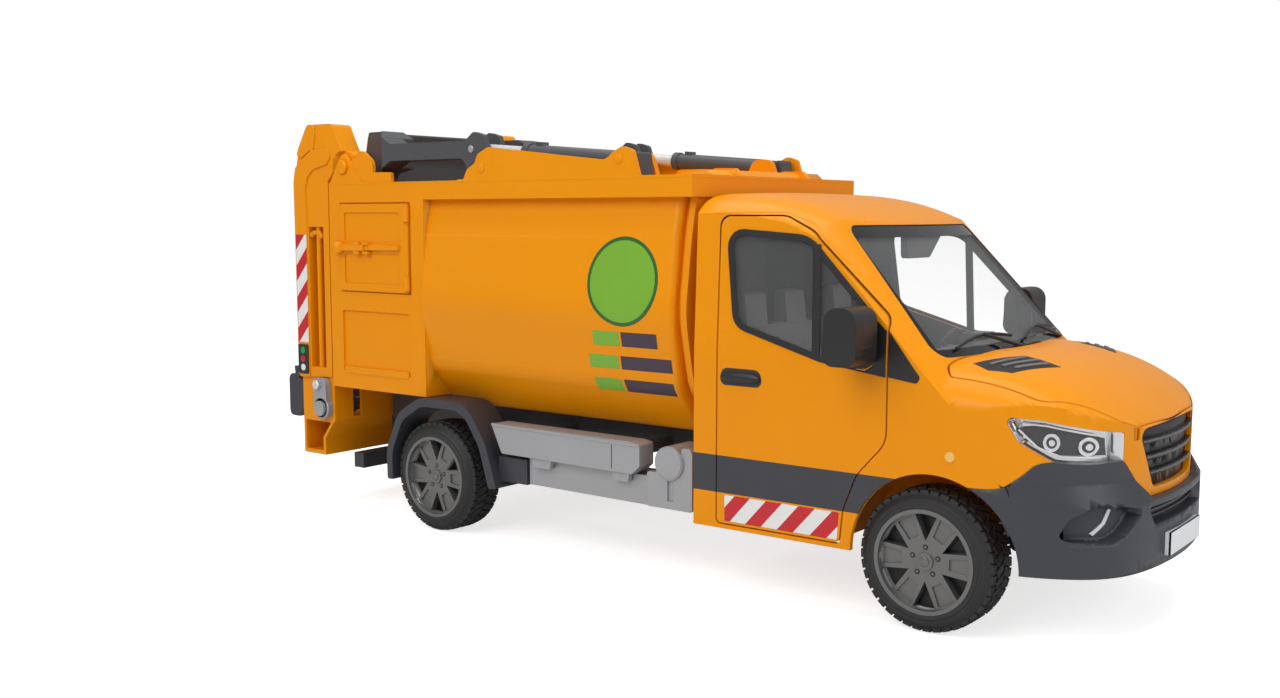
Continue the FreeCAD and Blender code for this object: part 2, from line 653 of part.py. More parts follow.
def make_chassis():
    low, high = BODY_RAIL_Z
    cab_low, cab_high = CAB_RAIL_Z
    step = CAB_REAR_X - 1.0
    tail = BODY_REAR_X + 1.0
    frame = []
    for side, _ in SIDES:
        y0, y1 = band(*RAIL_Y, side)
        frame.append(prism([(tail, low), (step - 8, low), (step, cab_low), (46, cab_low), (46, cab_high),
                            (step, cab_high), (step - 6, high), (tail, high)], "y", y0, y1))
        frame.append(box(tail, BOX_FRONT_X - 1, y0, y1, high - 1, BOX_BOTTOM_Z))
        frame.append(box(REAR_AXLE_X - 6, REAR_AXLE_X + 6, y0, y1, TYRE_R - 6, low + 1))
        for x in (-180.0, -130.0):
            frame.append(box(x - 2, x + 2, *band(RAIL_Y[0], RAIL_OUT_Y - 1.8, side), 42.5, 46.5))
            frame.append(box(x - 2, x + 2, *band(RAIL_OUT_Y - 14.8, RAIL_OUT_Y - 10.8, side), 37.6, 43.0))
        frame.append(box(TANK_X - 2, TANK_X + 2, *band(RAIL_Y[0], TANK_IN_Y, side), TANK_Z - 2, TANK_Z + 2))
    cross = [BODY_REAR_X + 7, BODY_REAR_X + 47, BODY_REAR_X + 92, -160.0, -115.0, -75.0, -38.0]
    for x in cross:
        z0 = cab_low + 1 if x > CAB_REAR_X else low + 1
        frame.append(box(x - 3, x + 3, -RAIL_Y[0] - 2, RAIL_Y[0] + 2, z0, z0 + 8))
    frame.append(box(-6, 6, -22, 22, TYRE_R + 3.0, 34.0))
    frame = fuse(*frame).cut(rod("y", BEAM_R + FIT, REAR_AXLE_X, TYRE_R, -40, 40))
    save("chassis_frame", frame)
    front = BODY_REAR_X + 4.6
    bar = [box(front - 6.6, front, -47, 47, 18.0, 25.0)]
    for side, _ in SIDES:
        bar.append(box(front - 4.6, front, *band(*RAIL_Y, side), 24, low))
    save("rear_cross_bar", fuse(*bar))


def barrel_section(inset):
    """Half outline of the bulged flank, closed along the centre plane."""
    t = inset
    w = BODY_HALF - t
    return [(0, BARREL_FLOOR_Z + t), (18.1 - w, BARREL_FLOOR_Z + t, 3), (3.6 - w, 72 + t, 16),
            (-2.3 - w, 100, 40), (1.6 - w, 128, 30), (4.6 - w, RAIL_Z[0], 0), (4.6 - w, RAIL_Z[1] - t),
            (0, RAIL_Z[1] - t)]


def barrel_part(inset, x0, x1):
    """Length of the barrel, both halves."""
    half = prism(barrel_section(inset), "x", x0, x1)
    return half.fuse(mirrored(half))


def make_container():
    low, top = RAIL_Z
    straight = BARREL_FRONT_X - BARREL_ROUND
    brow = Part.makeLoft([rounded_wire(barrel_section(inset), "x", x) for x, inset in (
        (straight, 0), (straight + 0.6 * BARREL_ROUND, 0.25 * BARREL_ROUND),
        (BARREL_FRONT_X, BARREL_ROUND))], True, False)
    outer = fuse(barrel_part(0, BOX_FRONT_X, straight), brow, mirrored(brow),
                 barrel_part(NECK_INSET, BARREL_FRONT_X - 0.2, FLANGE_X[0] + 0.2), barrel_part(0.9, *FLANGE_X),
                 box(BODY_REAR_X, BOX_FRONT_X, -BODY_HALF, BODY_HALF, BOX_BOTTOM_Z, top),
                 box(BODY_REAR_X, BODY_FRONT_X, -BODY_HALF, BODY_HALF, low, top))
    wall_in = BODY_HALF - WALL
    front_in = straight - WALL
    cavity = fuse(barrel_part(WALL, BOX_FRONT_X - WALL, front_in),
                  box(BODY_REAR_X - 1, BOX_FRONT_X - WALL + 0.1, -wall_in, wall_in, BOX_BOTTOM_Z + WALL, top + 1),
                  box(BOX_FRONT_X - 3, front_in, -HOPPER_HALF + 1.5, HOPPER_HALF - 1.5, low - 3, top + 1))
    shell = outer.cut(cavity)
    for side, _ in SIDES:
        y0, y1 = band(BODY_HALF - 0.9, BODY_HALF + 1, side)
        shell = shell.cut(box(BODY_REAR_X + 7.4, BODY_REAR_X + 53.8, y0, y1, 102.0, 141.9))
        lower = [(8, 65.7, 1), (52.5, 65.7, 1), (52.5, 93.5, 1), (8, 93.5, 1)]
        shell = shell.cut(prism(shifted(lower, BODY_REAR_X), "y", y0, y1))
    save("container", shell)


def make_roof():
    base = RAIL_Z[1]
    parts = [box(HOPPER_FRONT_X, BODY_FRONT_X, -BODY_HALF, BODY_HALF, base, base + ROOF_T)]
    sink = base + 0.5
    for side, _ in SIDES:
        outside = band(BODY_HALF - CHEEK_T, BODY_HALF, side)
        inside = band(*CHEEK_IN_Y, side)
        parts.append(box(BODY_REAR_X, HOPPER_FRONT_X, *band(HOPPER_HALF, BODY_HALF, side), base,
                         base + HOPPER_RIM_T))
        cheek = [(-9.2, base), (-6.4, 155.2, 2), (-2.0, 157.6, 2), (-0.2, 161.2, 2), (5.5, 164.0, 4),
                 (52.0, 158.9, 20), (67.6, 157.3, 6), (71.0, 160.0, 3), (75.6, 162.2, 3), (80.6, 160.6, 2),
                 (83.8, base)]
        parts.append(prism(shifted(cheek, ARM_PIVOT[0]), "y", *outside))
        gusset = [(0.2, base), (10.1, 164.6, 3), (13.0, 161.5, 1), (23.2, base)]
        parts.append(prism(shifted(gusset, BODY_REAR_X), "y", *outside))
        hump = [(12, base), (12, 160, 4), (17, 161.2, 2), (19.6, 163.8, 1), (22.5, 165.0, 3), (29.5, 160, 5),
                (29.5, 155.2), (41.0, 155.0, 1), (41.6, base)]
        parts.append(prism(shifted(hump, BODY_REAR_X), "y", *band(BODY_HALF - 2.4, BODY_HALF - 0.6, side)))
        base_cheek = [(-10.0, sink), (-5.0, 160.5, 4), (4.0, 160.5, 4), (7.5, sink)]
        parts.append(prism(shifted(base_cheek, CYL_BASE[0]), "y", *inside))
        arm_cheek = [(-11.0, sink), (-6.0, 159.5, 4), (6.0, 159.5, 4), (11.0, sink)]
        parts.append(prism(shifted(arm_cheek, ARM_PIVOT[0]), "y", *inside))
        reach = band(CHEEK_IN_Y[0], BODY_HALF - 0.4, side)
        parts.append(rod("y", PIN_R, *CYL_BASE, *reach))
        parts.append(rod("y", PIN_R, *ARM_PIVOT, *reach))
        parts.append(rod("y", PIN_R + 0.5, *HINGE, *band(BODY_HALF - 3.5, BODY_HALF + 0.6, side)))
        parts.append(prism([(-116.2, sink), (-107.6, 154.5, 3), (-98.4, 154.3, 1), (-94.6, sink)], "y",
                           *band(23.8, 26.0, side)))
    parts.append(prism([(-117.0, sink), (-114.0, 153.6, 2), (-101.0, 153.6, 1), (-97.5, sink)], "y", -41.0, 41.0))
    save("roof_frame", fuse(*parts))


def make_side_doors():
    low_x = BODY_REAR_X + 7.9
    high_x = BODY_REAR_X + 52.8
    for side, name in SIDES:
        leaf = prism([(low_x, 102.5, 1), (high_x, 102.5, 1), (high_x, 141.4, 1), (low_x, 141.4, 1)], "y",
                     *band(BODY_HALF - 0.6, BODY_HALF + 0.7, side))
        for z0, z1 in ((106.0, 119.5), (124.5, 137.5)):
            panel = [(low_x + 3.1, z0, 1), (high_x - 5.3, z0, 1), (high_x - 5.3, z1, 1), (low_x + 3.1, z1, 1)]
            leaf = leaf.cut(prism(panel, "y", *band(BODY_HALF + 0.1, BODY_HALF + 2, side)))
        bar = prism([(low_x - 3.1, 120.4, 1), (high_x - 4.8, 121.2), (high_x - 4.8, 123.2),
                     (low_x - 3.1, 123.8, 1)], "y", *band(BODY_HALF + 0.5, BODY_HALF + 2.2, side))
        hinges = [rod("z", 1.5, high_x - 0.8, side * (BODY_HALF + 0.8), z0, z0 + 6.5) for z0 in (103.5, 133.5)]
        save("side_door_" + name, fuse(leaf, bar, *hinges))


def tower_outline():
    """Side view of a tailgate tower, measured from the container's rear edge."""
    return shifted([(-0.6, 62.0), (-0.6, 152.0), (10.4, 163.0, 2), (7.7, 167.6, 3), (2.5, 177.5, 3),
                    (-13.8, 177.6, 3), (-21.0, 166.0, 10), (-24.5, 152.0, 14), (-24.3, 131.0, 30),
                    (-24.0, 60.7, 2)], BODY_REAR_X)


def make_tailgate():
    parts = []
    hook = [(-15.9, 60.0), (-15.6, 131.3), (-16.5, 147.5, 6), (-14.6, 154.2, 6), (-10.3, 157.2, 4),
            (-0.8, 159.3, 2), (1.9, 162.5, 2), (0.5, 165.8, 2), (-3.6, 166.9, 3), (-11.0, 166.2, 4),
            (-18.6, 161.7, 6), (-33.0, 150.0), (-33.0, 60.0)]
    ridge = [(-13.7, 180.0), (-9.0, 176.1, 1), (-8.6, 172.7, 1.5), (-9.9, 166.1, 1.5), (-12.6, 165.9, 1),
             (-18.6, 162.5), (-33.0, 170.0)]
    for side, _ in SIDES:
        column = prism(tower_outline(), "y", *band(TOWER_IN_Y, BODY_HALF, side))
        relief = prism(tower_outline(), "y", *band(BODY_HALF - 0.5, BODY_HALF + 0.7, side))
        for outline in (hook, ridge):
            column = column.fuse(relief.common(prism(shifted(outline, BODY_REAR_X), "y", -80, 80)))
        hollow = box(BODY_REAR_X - 15.0, BODY_REAR_X - 4.6, *band(TOWER_IN_Y - 1, BODY_HALF + 1, side), 66.0, 131.0)
        column = column.cut(hollow)
        y0, y1 = band(BODY_HALF - CHEEK_T - 0.4, BODY_HALF + 1, side)
        rest = [(-0.4, 149), (10.1, 165.4, 3), (27, 150)]
        column = column.cut(prism(shifted(rest, BODY_REAR_X), "y", y0, y1))
        column = column.cut(rod("y", HINGE_ROOM, *HINGE, y0, y1))
        y0, y1 = band(TOWER_IN_Y, BODY_HALF - CHEEK_T - 0.5, side)
        ear = prism(shifted([(0, 152.0), (15.2, 152.0, 4), (15.2, 163.5, 4), (7, 166)], BODY_REAR_X), "y", y0, y1)
        bore = rod("y", PIN_R + 0.5 + FIT, *HINGE, *band(BODY_HALF - 5.1, BODY_HALF + 2, side))
        grab = rod("z", 1.3, BODY_REAR_X - 10.0, side * (BODY_HALF - 2.0), 66.0, 131.0)
        parts += [column.fuse(ear).cut(bore), grab]
        web = [(-23.4, 25.0), (-8.0, 25.0), (-8.0, 33), (-0.6, 42.0), (-0.6, 62.5), (-23.4, 62.5)]
        hole = [(-21.8, 26.5), (-9.5, 26.5), (-9.5, 33), (-3.5, 40.5), (-21.8, 40.5)]
        y0, y1 = band(BODY_HALF - 3.1, BODY_HALF - 1.1, side)
        parts.append(prism(shifted(web, BODY_REAR_X), "y", y0, y1).cut(
            prism(shifted(hole, BODY_REAR_X), "y", y0 - 1, y1 + 1)))
    wide = BODY_HALF - 1.1
    trough = [(-23.4, 24.6), (-7.8, 24.6), (-7.8, 32.6), (-0.8, 41.8), (-23.4, 41.8)]
    hollow = [(-21.9, 26.1), (-9.3, 26.1), (-9.3, 33.2), (-3.7, 40.3), (-21.9, 40.3)]
    parts.append(prism(shifted(trough, BODY_REAR_X), "y", -wide, wide).cut(
        prism(shifted(hollow, BODY_REAR_X), "y", -wide - 1, wide + 1)))
    slot = (LIFT_ARM_Y - 0.6, LIFT_HALF + 0.6)
    panel = box(BODY_REAR_X - 1.9, BODY_REAR_X - 0.6, -wide, wide, 41.0, 66.0)
    for side, _ in SIDES:
        panel = panel.cut(box(BODY_REAR_X - 3, BODY_REAR_X + 1, *band(*slot, side), 42.5, 70))
    parts.append(panel)
    chute = [(-1.9, 62.5), (-0.6, 62.5), (-0.6, 66), (-18.0, 76.0), (-19.5, 74.5)]
    parts.append(prism(shifted(chute, BODY_REAR_X), "y", -slot[0], slot[0]))
    header = [(-15.0, 138.0), (-4.5, 138.0), (-4.5, 150.0), (-9.0, 154.0, 3), (-15.0, 154.0, 3)]
    parts.append(prism(shifted(header, BODY_REAR_X), "y", -TOWER_IN_Y - 1, TOWER_IN_Y + 1))
    bearing = rod("y", LIFT_SHAFT_R + FIT, *LIFT_AXIS, -70, 70)
    save("tailgate", fuse(*parts).cut(bearing))
    brackets = []
    for side, _ in SIDES:
        link = prism(shifted([(-11.6, 43.0, 4), (-11.6, 61.3, 3), (-3.0, 61.3, 3), (-2.0, 43.0, 4)], BODY_REAR_X),
                     "y", *band(BODY_HALF - 1.0, BODY_HALF + 2.4, side))
        bolt = rod("y", 2.3, BODY_REAR_X - 8.2, 58.2, *band(BODY_HALF + 2.4, BODY_HALF + 3.8, side))
        brackets.append(fuse(link.cut(bearing), bolt))
    save("lift_brackets", Part.makeCompound(brackets))


def make_lift():
    end = BODY_HALF + 3.6
    save("lift_shaft", rod("y", LIFT_SHAFT_R, *LIFT_AXIS, -end, end))
    ax, az = LIFT_AXIS
    arm = shifted([(4.0, az - 4.0, 3.6), (4.0, az + 4.0, 3.6), (-30, az + 8.0), (-42.5, 61.0, 3), (-42.5, 38.5, 3),
                   (-34.5, 38.5, 1), (-31, az - 2.5)], ax)
    parts = []
    for side, _ in SIDES:
        flank = prism(arm, "y", *band(LIFT_ARM_Y, LIFT_HALF, side))
        parts.append(flank.cut(rod("y", LIFT_SHAFT_R + 0.02, *LIFT_AXIS, -70, 70)))
    plate = shifted([(-34.7, 40.0, 1), (-34.7, 60.5, 1), (-37.5, 60.5, 1), (-37.5, 40.0, 1)], ax)
    parts.append(prism(plate, "y", -LIFT_HALF, LIFT_HALF))
    tooth = shifted([(-37.5, 55.0), (-41.1, 57.5), (-41.9, 62.6), (-39.7, 62.6), (-37.3, 59.8)], ax)
    reach = LIFT_HALF - 5
    for k in range(TEETH):
        y = -reach + 2 * reach * k / (TEETH - 1)
        parts.append(prism(tooth, "y", y - 2.2, y + 2.2))
    save("lift_comb", fuse(*parts))


def packer_arm(side):
    """One packer arm, open over the cylinder's rod eye."""
    px, pz = ARM_PIVOT
    rx, rz = ROD_PIN
    outline = shifted([(4.2, pz - 3.6, 3), (4.2, 160.0, 2), (1.8, 164.5, 2), (0.0, 169.3, 2), (-5.7, 170.8, 2),
                       (-10.6, 167.3, 3), (-56.7, 167.4, 3), (-62.5, 170.6), (-62.5, 157.0), (-56.9, 160.0, 3),
                       (-12.0, 160.0, 4), (-8.0, pz - 3.6, 3)], px)
    y0, y1 = band(ARM_IN_Y, ARM_OUT_Y, side)
    arm = prism(outline, "y", y0, y1)
    arm = arm.cut(box(rx - 6.5, rx + 12, *band(CYL_Y - 3.2, CYL_Y + 3.2, side), pz + 0.5, rz + 10))
    arm = arm.cut(rod("y", PIN_R + FIT, px, pz, -70, 70))
    return arm.fuse(rod("y", PIN_R, rx, rz, y0, y1))


def make_packer():
    tail = ARM_PIVOT[0]
    out = tail - 62.0
    parts = []
    for side, _ in SIDES:
        parts.append(packer_arm(side))
        corners = [(out, ARM_OUT_Y), (out, BODY_HALF - 22.1), (out - 23.5, BODY_HALF - 22.1),
                   (out - 23.5, JOG_Y), (out - 11.5, JOG_Y), (out, ARM_OUT_Y)]
        jog = Part.Face(Part.makePolygon([Vec(x, side * y, 0) for x, y in corners])).extrude(Vec(0, 0, 200))
        head = shifted([(-62.0, 157.2), (-62.0, 170.4), (-69.0, 173.8, 2), (-82.0, 173.8, 3), (-85.0, 160, 8),
                        (-78.0, 134.0, 3), (-74.0, 134.0), (-73.0, 155.0, 3)], tail)
        parts.append(jog.common(prism(head, "y", *band(FLAP_HALF - 11, FLAP_HALF + 11, side))))
    flap = shifted([(-82.0, 173.8, 1), (-85.0, 160.0, 10), (-82.0, 128.0, 10), (-72.0, 104.0, 1),
                    (-69.5, 105.0, 1), (-79.0, 128.0, 10), (-82.0, 160, 10), (-79.0, 173.8, 1)], tail)
    parts.append(prism(flap, "y", -FLAP_HALF, FLAP_HALF))
    save("packer_frame", fuse(*parts))


def make_cylinders():
    bx, bz = CYL_BASE
    rx, rz = ROD_PIN
    length = math.hypot(rx - bx, rz - bz)
    angle = math.degrees(math.atan2(rz - bz, -(rx - bx)))
    mouth = -BARREL_FROM_BASE
    for side, name in SIDES:
        barrel = fuse(rod("x", BARREL_R, 0, 0, mouth, -4), rod("y", 3.4, 0, 0, -3, 3), rod("x", 3.0, 0, 0, -6, 0),
                      rod("x", BARREL_R + 0.5, 0, 0, mouth, mouth + 3),
                      box(mouth + 6, mouth + 10, -1.6, 1.6, 0, BARREL_R + 1.2))
        barrel = barrel.cut(rod("x", BARREL_BORE_R, 0, 0, mouth - 1, -12))
        barrel = barrel.cut(rod("y", PIN_R + FIT, 0, 0, -5, 5))
        stem = fuse(rod("x", ROD_R, 0, 0, -length + 2.5, -30), rod("y", 3.2, -length, 0, -2.6, 2.6))
        stem = stem.cut(rod("y", PIN_R + EYE_PLAY, -length, 0, -5, 5))
        for shape, node in ((barrel, "cylinder_barrel_" + name), (stem, "cylinder_rod_" + name)):
            shape.rotate(Vec(0, 0, 0), Vec(0, 1, 0), angle)
            shape.translate(Vec(bx, side * CYL_Y, bz))
            save(node, shape)


def make_side_gear():
    fenders = []
    rails = []
    skirts = []
    tanks = []
    inner_y = TYRE_OUTER_Y - 16.2
    outer = shifted([(-29.0, 19.8, 1), (-29.4, 33.0, 16), (-21.8, 50.0, 12), (-8.0, 57.8, 10), (20.0, 57.8, 14),
                     (31.5, 42.0, 14), (37.8, 23.4, 1)], REAR_AXLE_X)
    inner = shifted([(-25.6, 19.0), (-25.9, 32.0, 14), (-18.8, 47.0, 10), (-6.6, 54.2, 9), (18.2, 54.2, 12),
                     (27.8, 40.4, 12), (33.4, 22.8), (33.4, 10), (-25.6, 10)], REAR_AXLE_X)
    for side, _ in SIDES:
        y0, y1 = band(inner_y, TYRE_OUTER_Y + 0.2, side)
        ring = prism(outer, "y", y0, y1).cut(prism(inner, "y", y0 - 1, y1 + 1))
        flap = box(REAR_AXLE_X + 35, REAR_AXLE_X + 51, *band(inner_y, RAIL_OUT_Y - 2.8, side), 26.2, 36.6)
        fenders.append(fuse(ring, flap))
        wall = band(RAIL_OUT_Y - 8.8, RAIL_OUT_Y, side)
        rail = prism([(-195.6, 50.6, 1), (-189.6, 38.5, 1), (-121.5, 38.0, 1), (-117.6, 41.5, 1), (-117.6, 49.8, 1),
                      (-122.0, 50.6, 1)], "y", *wall)
        hollow = prism([(-191.0, 48.8), (-187.8, 40.0), (-122.4, 39.5), (-119.6, 42.4), (-119.6, 48.2)], "y",
                       *band(RAIL_OUT_Y - 20, RAIL_OUT_Y - 1.8, side))
        parts = [rail.cut(hollow)]
        for x0, x1 in ((-174.0, -163.0), (-132.0, -123.0)):
            parts.append(prism([(x0, 39.0), (x0 + 1, 34.5, 1), (x1 - 1, 34.5, 1), (x1, 39.0)], "y",
                               *band(RAIL_OUT_Y - 3.2, RAIL_OUT_Y - 1.0, side)))
        rails.append(fuse(*parts))
        skirt = [(-177.4, 37.4), (-177.4, 26.6), (-116.0, 26.2), (-116.0, 37.4)]
        skirts.append(fuse(prism(skirt, "y", *band(RAIL_OUT_Y - 5.8, RAIL_OUT_Y - 3.8, side)),
                           box(-177.4, -116.0, *band(RAIL_OUT_Y - 16.8, RAIL_OUT_Y - 3.8, side), 36.4, 37.6)))
        drum = rod("y", TANK_R, TANK_X, TANK_Z, *band(TANK_IN_Y, RAIL_OUT_Y - 0.4, side))
        plate = prism([(-115.0, 26.6, 1), (-94.0, 26.6, 1), (-94.0, 50.4, 3), (-99.0, 50.4, 1), (-99.0, TANK_Z),
                       (-110.5, TANK_Z), (-110.5, 40.0, 1), (-115.0, 40.0, 1)], "y",
                      *band(RAIL_OUT_Y - 4.0, RAIL_OUT_Y - 1.4, side))
        groove = box(-105.4, -102.5, *band(RAIL_OUT_Y - 2.2, RAIL_OUT_Y, side), 29.6, 37.2)
        tanks.append(fuse(drum, plate).cut(groove))
    save("rear_fenders", Part.makeCompound(fenders))
    save("side_rails", Part.makeCompound(rails))
    save("side_skirts", Part.makeCompound(skirts))
    save("side_tanks", Part.makeCompound(tanks))


os.makedirs(OUT, exist_ok=True)
make_cab()
make_belt()
make_doors()
make_front()
make_bumper()
make_interior()
make_mirrors()
make_wheels()
make_axles()
make_chassis()
make_container()
make_roof()
make_side_doors()
make_tailgate()
make_lift()
make_packer()
make_cylinders()
make_side_gear()
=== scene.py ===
import json
import math
from functools import cached_property

import bmesh
import bpy
from mathutils import Matrix, Vector
from mathutils.bvhtree import BVHTree

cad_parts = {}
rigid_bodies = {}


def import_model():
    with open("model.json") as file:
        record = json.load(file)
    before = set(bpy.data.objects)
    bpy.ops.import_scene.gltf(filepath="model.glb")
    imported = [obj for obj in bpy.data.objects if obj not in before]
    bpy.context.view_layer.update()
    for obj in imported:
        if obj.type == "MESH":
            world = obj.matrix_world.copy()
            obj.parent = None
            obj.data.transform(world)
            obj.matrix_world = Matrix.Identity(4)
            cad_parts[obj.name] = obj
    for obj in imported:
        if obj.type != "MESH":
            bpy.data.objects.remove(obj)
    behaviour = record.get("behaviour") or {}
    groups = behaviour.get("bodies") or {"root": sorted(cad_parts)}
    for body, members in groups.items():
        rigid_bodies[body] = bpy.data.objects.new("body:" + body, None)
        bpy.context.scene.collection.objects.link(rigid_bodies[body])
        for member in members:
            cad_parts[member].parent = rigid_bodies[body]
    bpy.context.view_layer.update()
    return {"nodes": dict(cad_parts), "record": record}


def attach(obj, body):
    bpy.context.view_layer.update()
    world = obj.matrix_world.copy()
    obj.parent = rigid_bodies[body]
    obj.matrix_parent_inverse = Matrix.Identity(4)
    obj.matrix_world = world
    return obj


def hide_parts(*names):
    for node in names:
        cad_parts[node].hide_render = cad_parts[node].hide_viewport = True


# Toy garbage truck. Lengths are millimetres: x from the front axle, forward; y to the truck's
# left; z up from the floor. at() turns them into the frame's metres.

# A new Blender file starts with objects of its own, which belong to no body.
for leftover in list(bpy.data.objects):
    bpy.data.objects.remove(leftover)
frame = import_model()

MM = 0.001
AXLE_X = 140.65
REAR_AXLE = -229.0
TYRE_R = 24.0
TYRE_IN = 43.4
TYRE_OUT = 62.4
CAB_SIDE = 63.0
BODY_SIDE = 60.1
GEAR_SIDE = BODY_SIDE + 0.7
TAIL = -297.0
LIFT = (-303.5, 47.2)
CYLINDER_Y = 51.0
SIDES = ((-1, "right"), (1, "left"))

CREASE = math.radians(30)
FLAT = math.radians(0.2)
MERGE = 2e-6
STEPS = 24
STICKER = 0.08
TRIM = 0.3


def at(x, y, z):
    """Place in the frame's metres."""
    return Vector((x + AXLE_X, y, z)) * MM


# Finishes

class Signal:
    """Output of a node; Python's operators on it add Math nodes."""

    def __init__(self, wiring, socket):
        self.wiring = wiring
        self.socket = socket

    def maths(self, operation, first, second=0.0):
        return self.wiring.node("ShaderNodeMath", {"operation": operation}, {0: first, 1: second})

    def __add__(self, other):
        return self.maths("ADD", self, other)

    __radd__ = __add__

    def __sub__(self, other):
        return self.maths("SUBTRACT", self, other)

    def __rsub__(self, other):
        return self.maths("SUBTRACT", other, self)

    def __mul__(self, other):
        return self.maths("MULTIPLY", self, other)

    __rmul__ = __mul__

    def __mod__(self, other):
        return self.maths("FLOORED_MODULO", self, other)

    def __gt__(self, other):
        return self.maths("GREATER_THAN", self, other)

    def __lt__(self, other):
        return self.maths("LESS_THAN", self, other)

    def __or__(self, other):
        return self.maths("MAXIMUM", self, other)

    def __abs__(self):
        return self.maths("ABSOLUTE", self)


class Wiring:
    """Node tree of a material, a world or a geometry group."""

    def __init__(self, tree):
        self.tree = tree

    def node(self, kind, settings=None, inputs=None, output=0):
        """Adds a node and gives one of its outputs."""
        made = self.tree.nodes.new(kind)
        for key, value in (settings or {}).items():
            setattr(made, key, value)
        for key, value in (inputs or {}).items():
            self.feed(made.inputs[key], value)
        return Signal(self, made.outputs[output])

    def feed(self, socket, value):
        """Links a signal to a socket, or sets the socket to a value."""
        if isinstance(value, Signal):
            self.tree.links.new(value.socket, socket)
        else:
            socket.default_value = value


GLOSS_PATCHES = 90.0
GLOSS_SWING = 0.08
COLOUR_PATCHES = 28.0
COLOUR_SHARE = 0.8
GRAIN_SCALE = 2600.0
GRAIN_DEPTH = 0.1 * MM
PANE_COAT = 0.2
PANE_GLOSS = 0.02
# Painted sheen: how much more opaque white the glass grows at a glancing view.
PANE_GLANCE_SHEEN = 0.12
PANE_DUST = 0.01
PANE_PATCHES = 60.0


class Finish(Wiring):
    """Material whose patterns read Object coordinates."""

    def __init__(self, name, colour, roughness, slot, **fixed):
        self.material = bpy.data.materials.new(name)
        self.material.use_nodes = True
        super().__init__(self.material.node_tree)
        self.slot = slot
        self.colour = colour
        self.roughness = roughness
        self.paint(Base_Color=(*colour, 1.0), Roughness=roughness, **fixed)

    def paint(self, **values):
        """Sets or links sockets of the shader; _ stands for a space in their names."""
        shader = self.tree.nodes["Principled BSDF"]
        for name, value in values.items():
            self.feed(shader.inputs[name.replace("_", " ")], value)

    @cached_property
    def place(self):
        return self.node("ShaderNodeTexCoord", output="Object")

    def speckle(self, scale, detail=2.0):
        """Noise from 0 to 1 whose features are about 1 / scale metres across."""
        return self.node("ShaderNodeTexNoise", {"noise_dimensions": "3D"},
                         {"Vector": self.place, "Scale": scale, "Detail": detail}, "Fac")

    def axis(self, name):
        """One coordinate in millimetres, x from the front axle."""
        metres = self.node("ShaderNodeSeparateXYZ", inputs={0: self.place}, output=name)
        return metres * (1 / MM) - (AXLE_X if name == "X" else 0.0)

    def mix(self, mask, start, other):
        """Goes from the first colour to the other where the mask is 1."""
        return self.node("ShaderNodeMix", {"data_type": "RGBA", "clamp_factor": True},
                         {0: mask, 6: start, 7: (*other, 1.0)}, 2)

    def tint(self, mask, other, base=None):
        """Lays another colour over the base colour where the mask is 1."""
        mixed = self.mix(mask, base or (*self.colour, 1.0), other)
        self.paint(Base_Color=mixed)
        return mixed

    def texture(self, grain, edge):
        """Uneven gloss, a fine moulded grain and softly rounded edges."""
        patch = self.speckle(GLOSS_PATCHES)
        self.paint(Roughness=self.roughness + (patch - 0.5) * GLOSS_SWING)
        soft = self.node("ShaderNodeBevel", {"samples": 4}, {"Radius": edge})
        self.paint(Normal=self.node("ShaderNodeBump", inputs={
            "Strength": grain, "Distance": GRAIN_DEPTH, "Height": self.speckle(GRAIN_SCALE, 3.0),
            "Normal": soft}))


def plastic(name, colour, roughness, slot, grain=0.05, edge=0.3, shade=0.12, **fixed):
    """Moulded plastic: slight colour drift, uneven gloss and fine grain."""
    made = Finish(name, colour, roughness, slot, **fixed)
    darker = tuple(c * (1 - shade) for c in colour)
    made.drift = made.tint(made.speckle(COLOUR_PATCHES) * COLOUR_SHARE, darker)
    made.texture(grain, edge * MM)
    return made


ORANGE = plastic("body_orange", (0.86, 0.295, 0.0), 0.32, "body_orange", grain=0.015, shade=0.05,
                 Coat_Weight=0.05, Coat_Roughness=0.04, Specular_IOR_Level=0.18)
SLATE = plastic("slate_trim", (0.043, 0.045, 0.055), 0.42, "slate_trim", grain=0.16)
DARK = plastic("dark_mechanism", (0.070, 0.072, 0.078), 0.38, "dark_metal", grain=0.14)
SILVER = plastic("silver_plastic", (0.40, 0.405, 0.42), 0.33, "silver", Metallic=0.3)
BRIGHT = plastic("bright_rod", (0.74, 0.75, 0.77), 0.22, "silver", Metallic=0.3)
BLACK = plastic("black_trim", (0.016, 0.016, 0.018), 0.36, "black_trim", grain=0.2)
SEAT = plastic("seat_grey", (0.17, 0.165, 0.17), 0.5, "seat_grey", grain=0.4, edge=0.6)
RUBBER = plastic("tyre_rubber", (0.022, 0.022, 0.023), 0.6, "rubber", grain=0.35, edge=0.4)
PLATE = plastic("plate_white", (0.80, 0.82, 0.84), 0.30, "plate_white", shade=0.04)
GREEN = plastic("sticker_green", (0.20, 0.46, 0.03), 0.3, "body_orange", shade=0.25)
DEEP_GREEN = plastic("sticker_deep_green", (0.02, 0.13, 0.02), 0.3, "body_orange")
NAVY = plastic("sticker_navy", (0.050, 0.028, 0.050), 0.3, "body_orange")
# Matte near-black: painted shade inside the cab, the doors and the handle pockets; also the
# headlamps' dark bowls.
MATTE_BLACK = plastic("cab_lining", (0.030, 0.030, 0.034), 0.6, "black_trim", grain=0.3)
LAMP_RED = plastic("lamp_red", (0.55, 0.01, 0.01), 0.2, "black_trim")
LAMP_GREEN = plastic("lamp_green", (0.02, 0.30, 0.06), 0.2, "black_trim")
AMBER = plastic("lamp_amber", (0.90, 0.52, 0.12), 0.2, "body_orange")
MIRROR = plastic("mirror_face", (0.82, 0.84, 0.86), 0.08, "black_trim", shade=0.02, grain=0.0,
                 Metallic=1.0)
GLASS = Finish("clear_glazing", (0.96, 0.98, 1.0), 0.02, "clear_glazing", IOR=1.45)
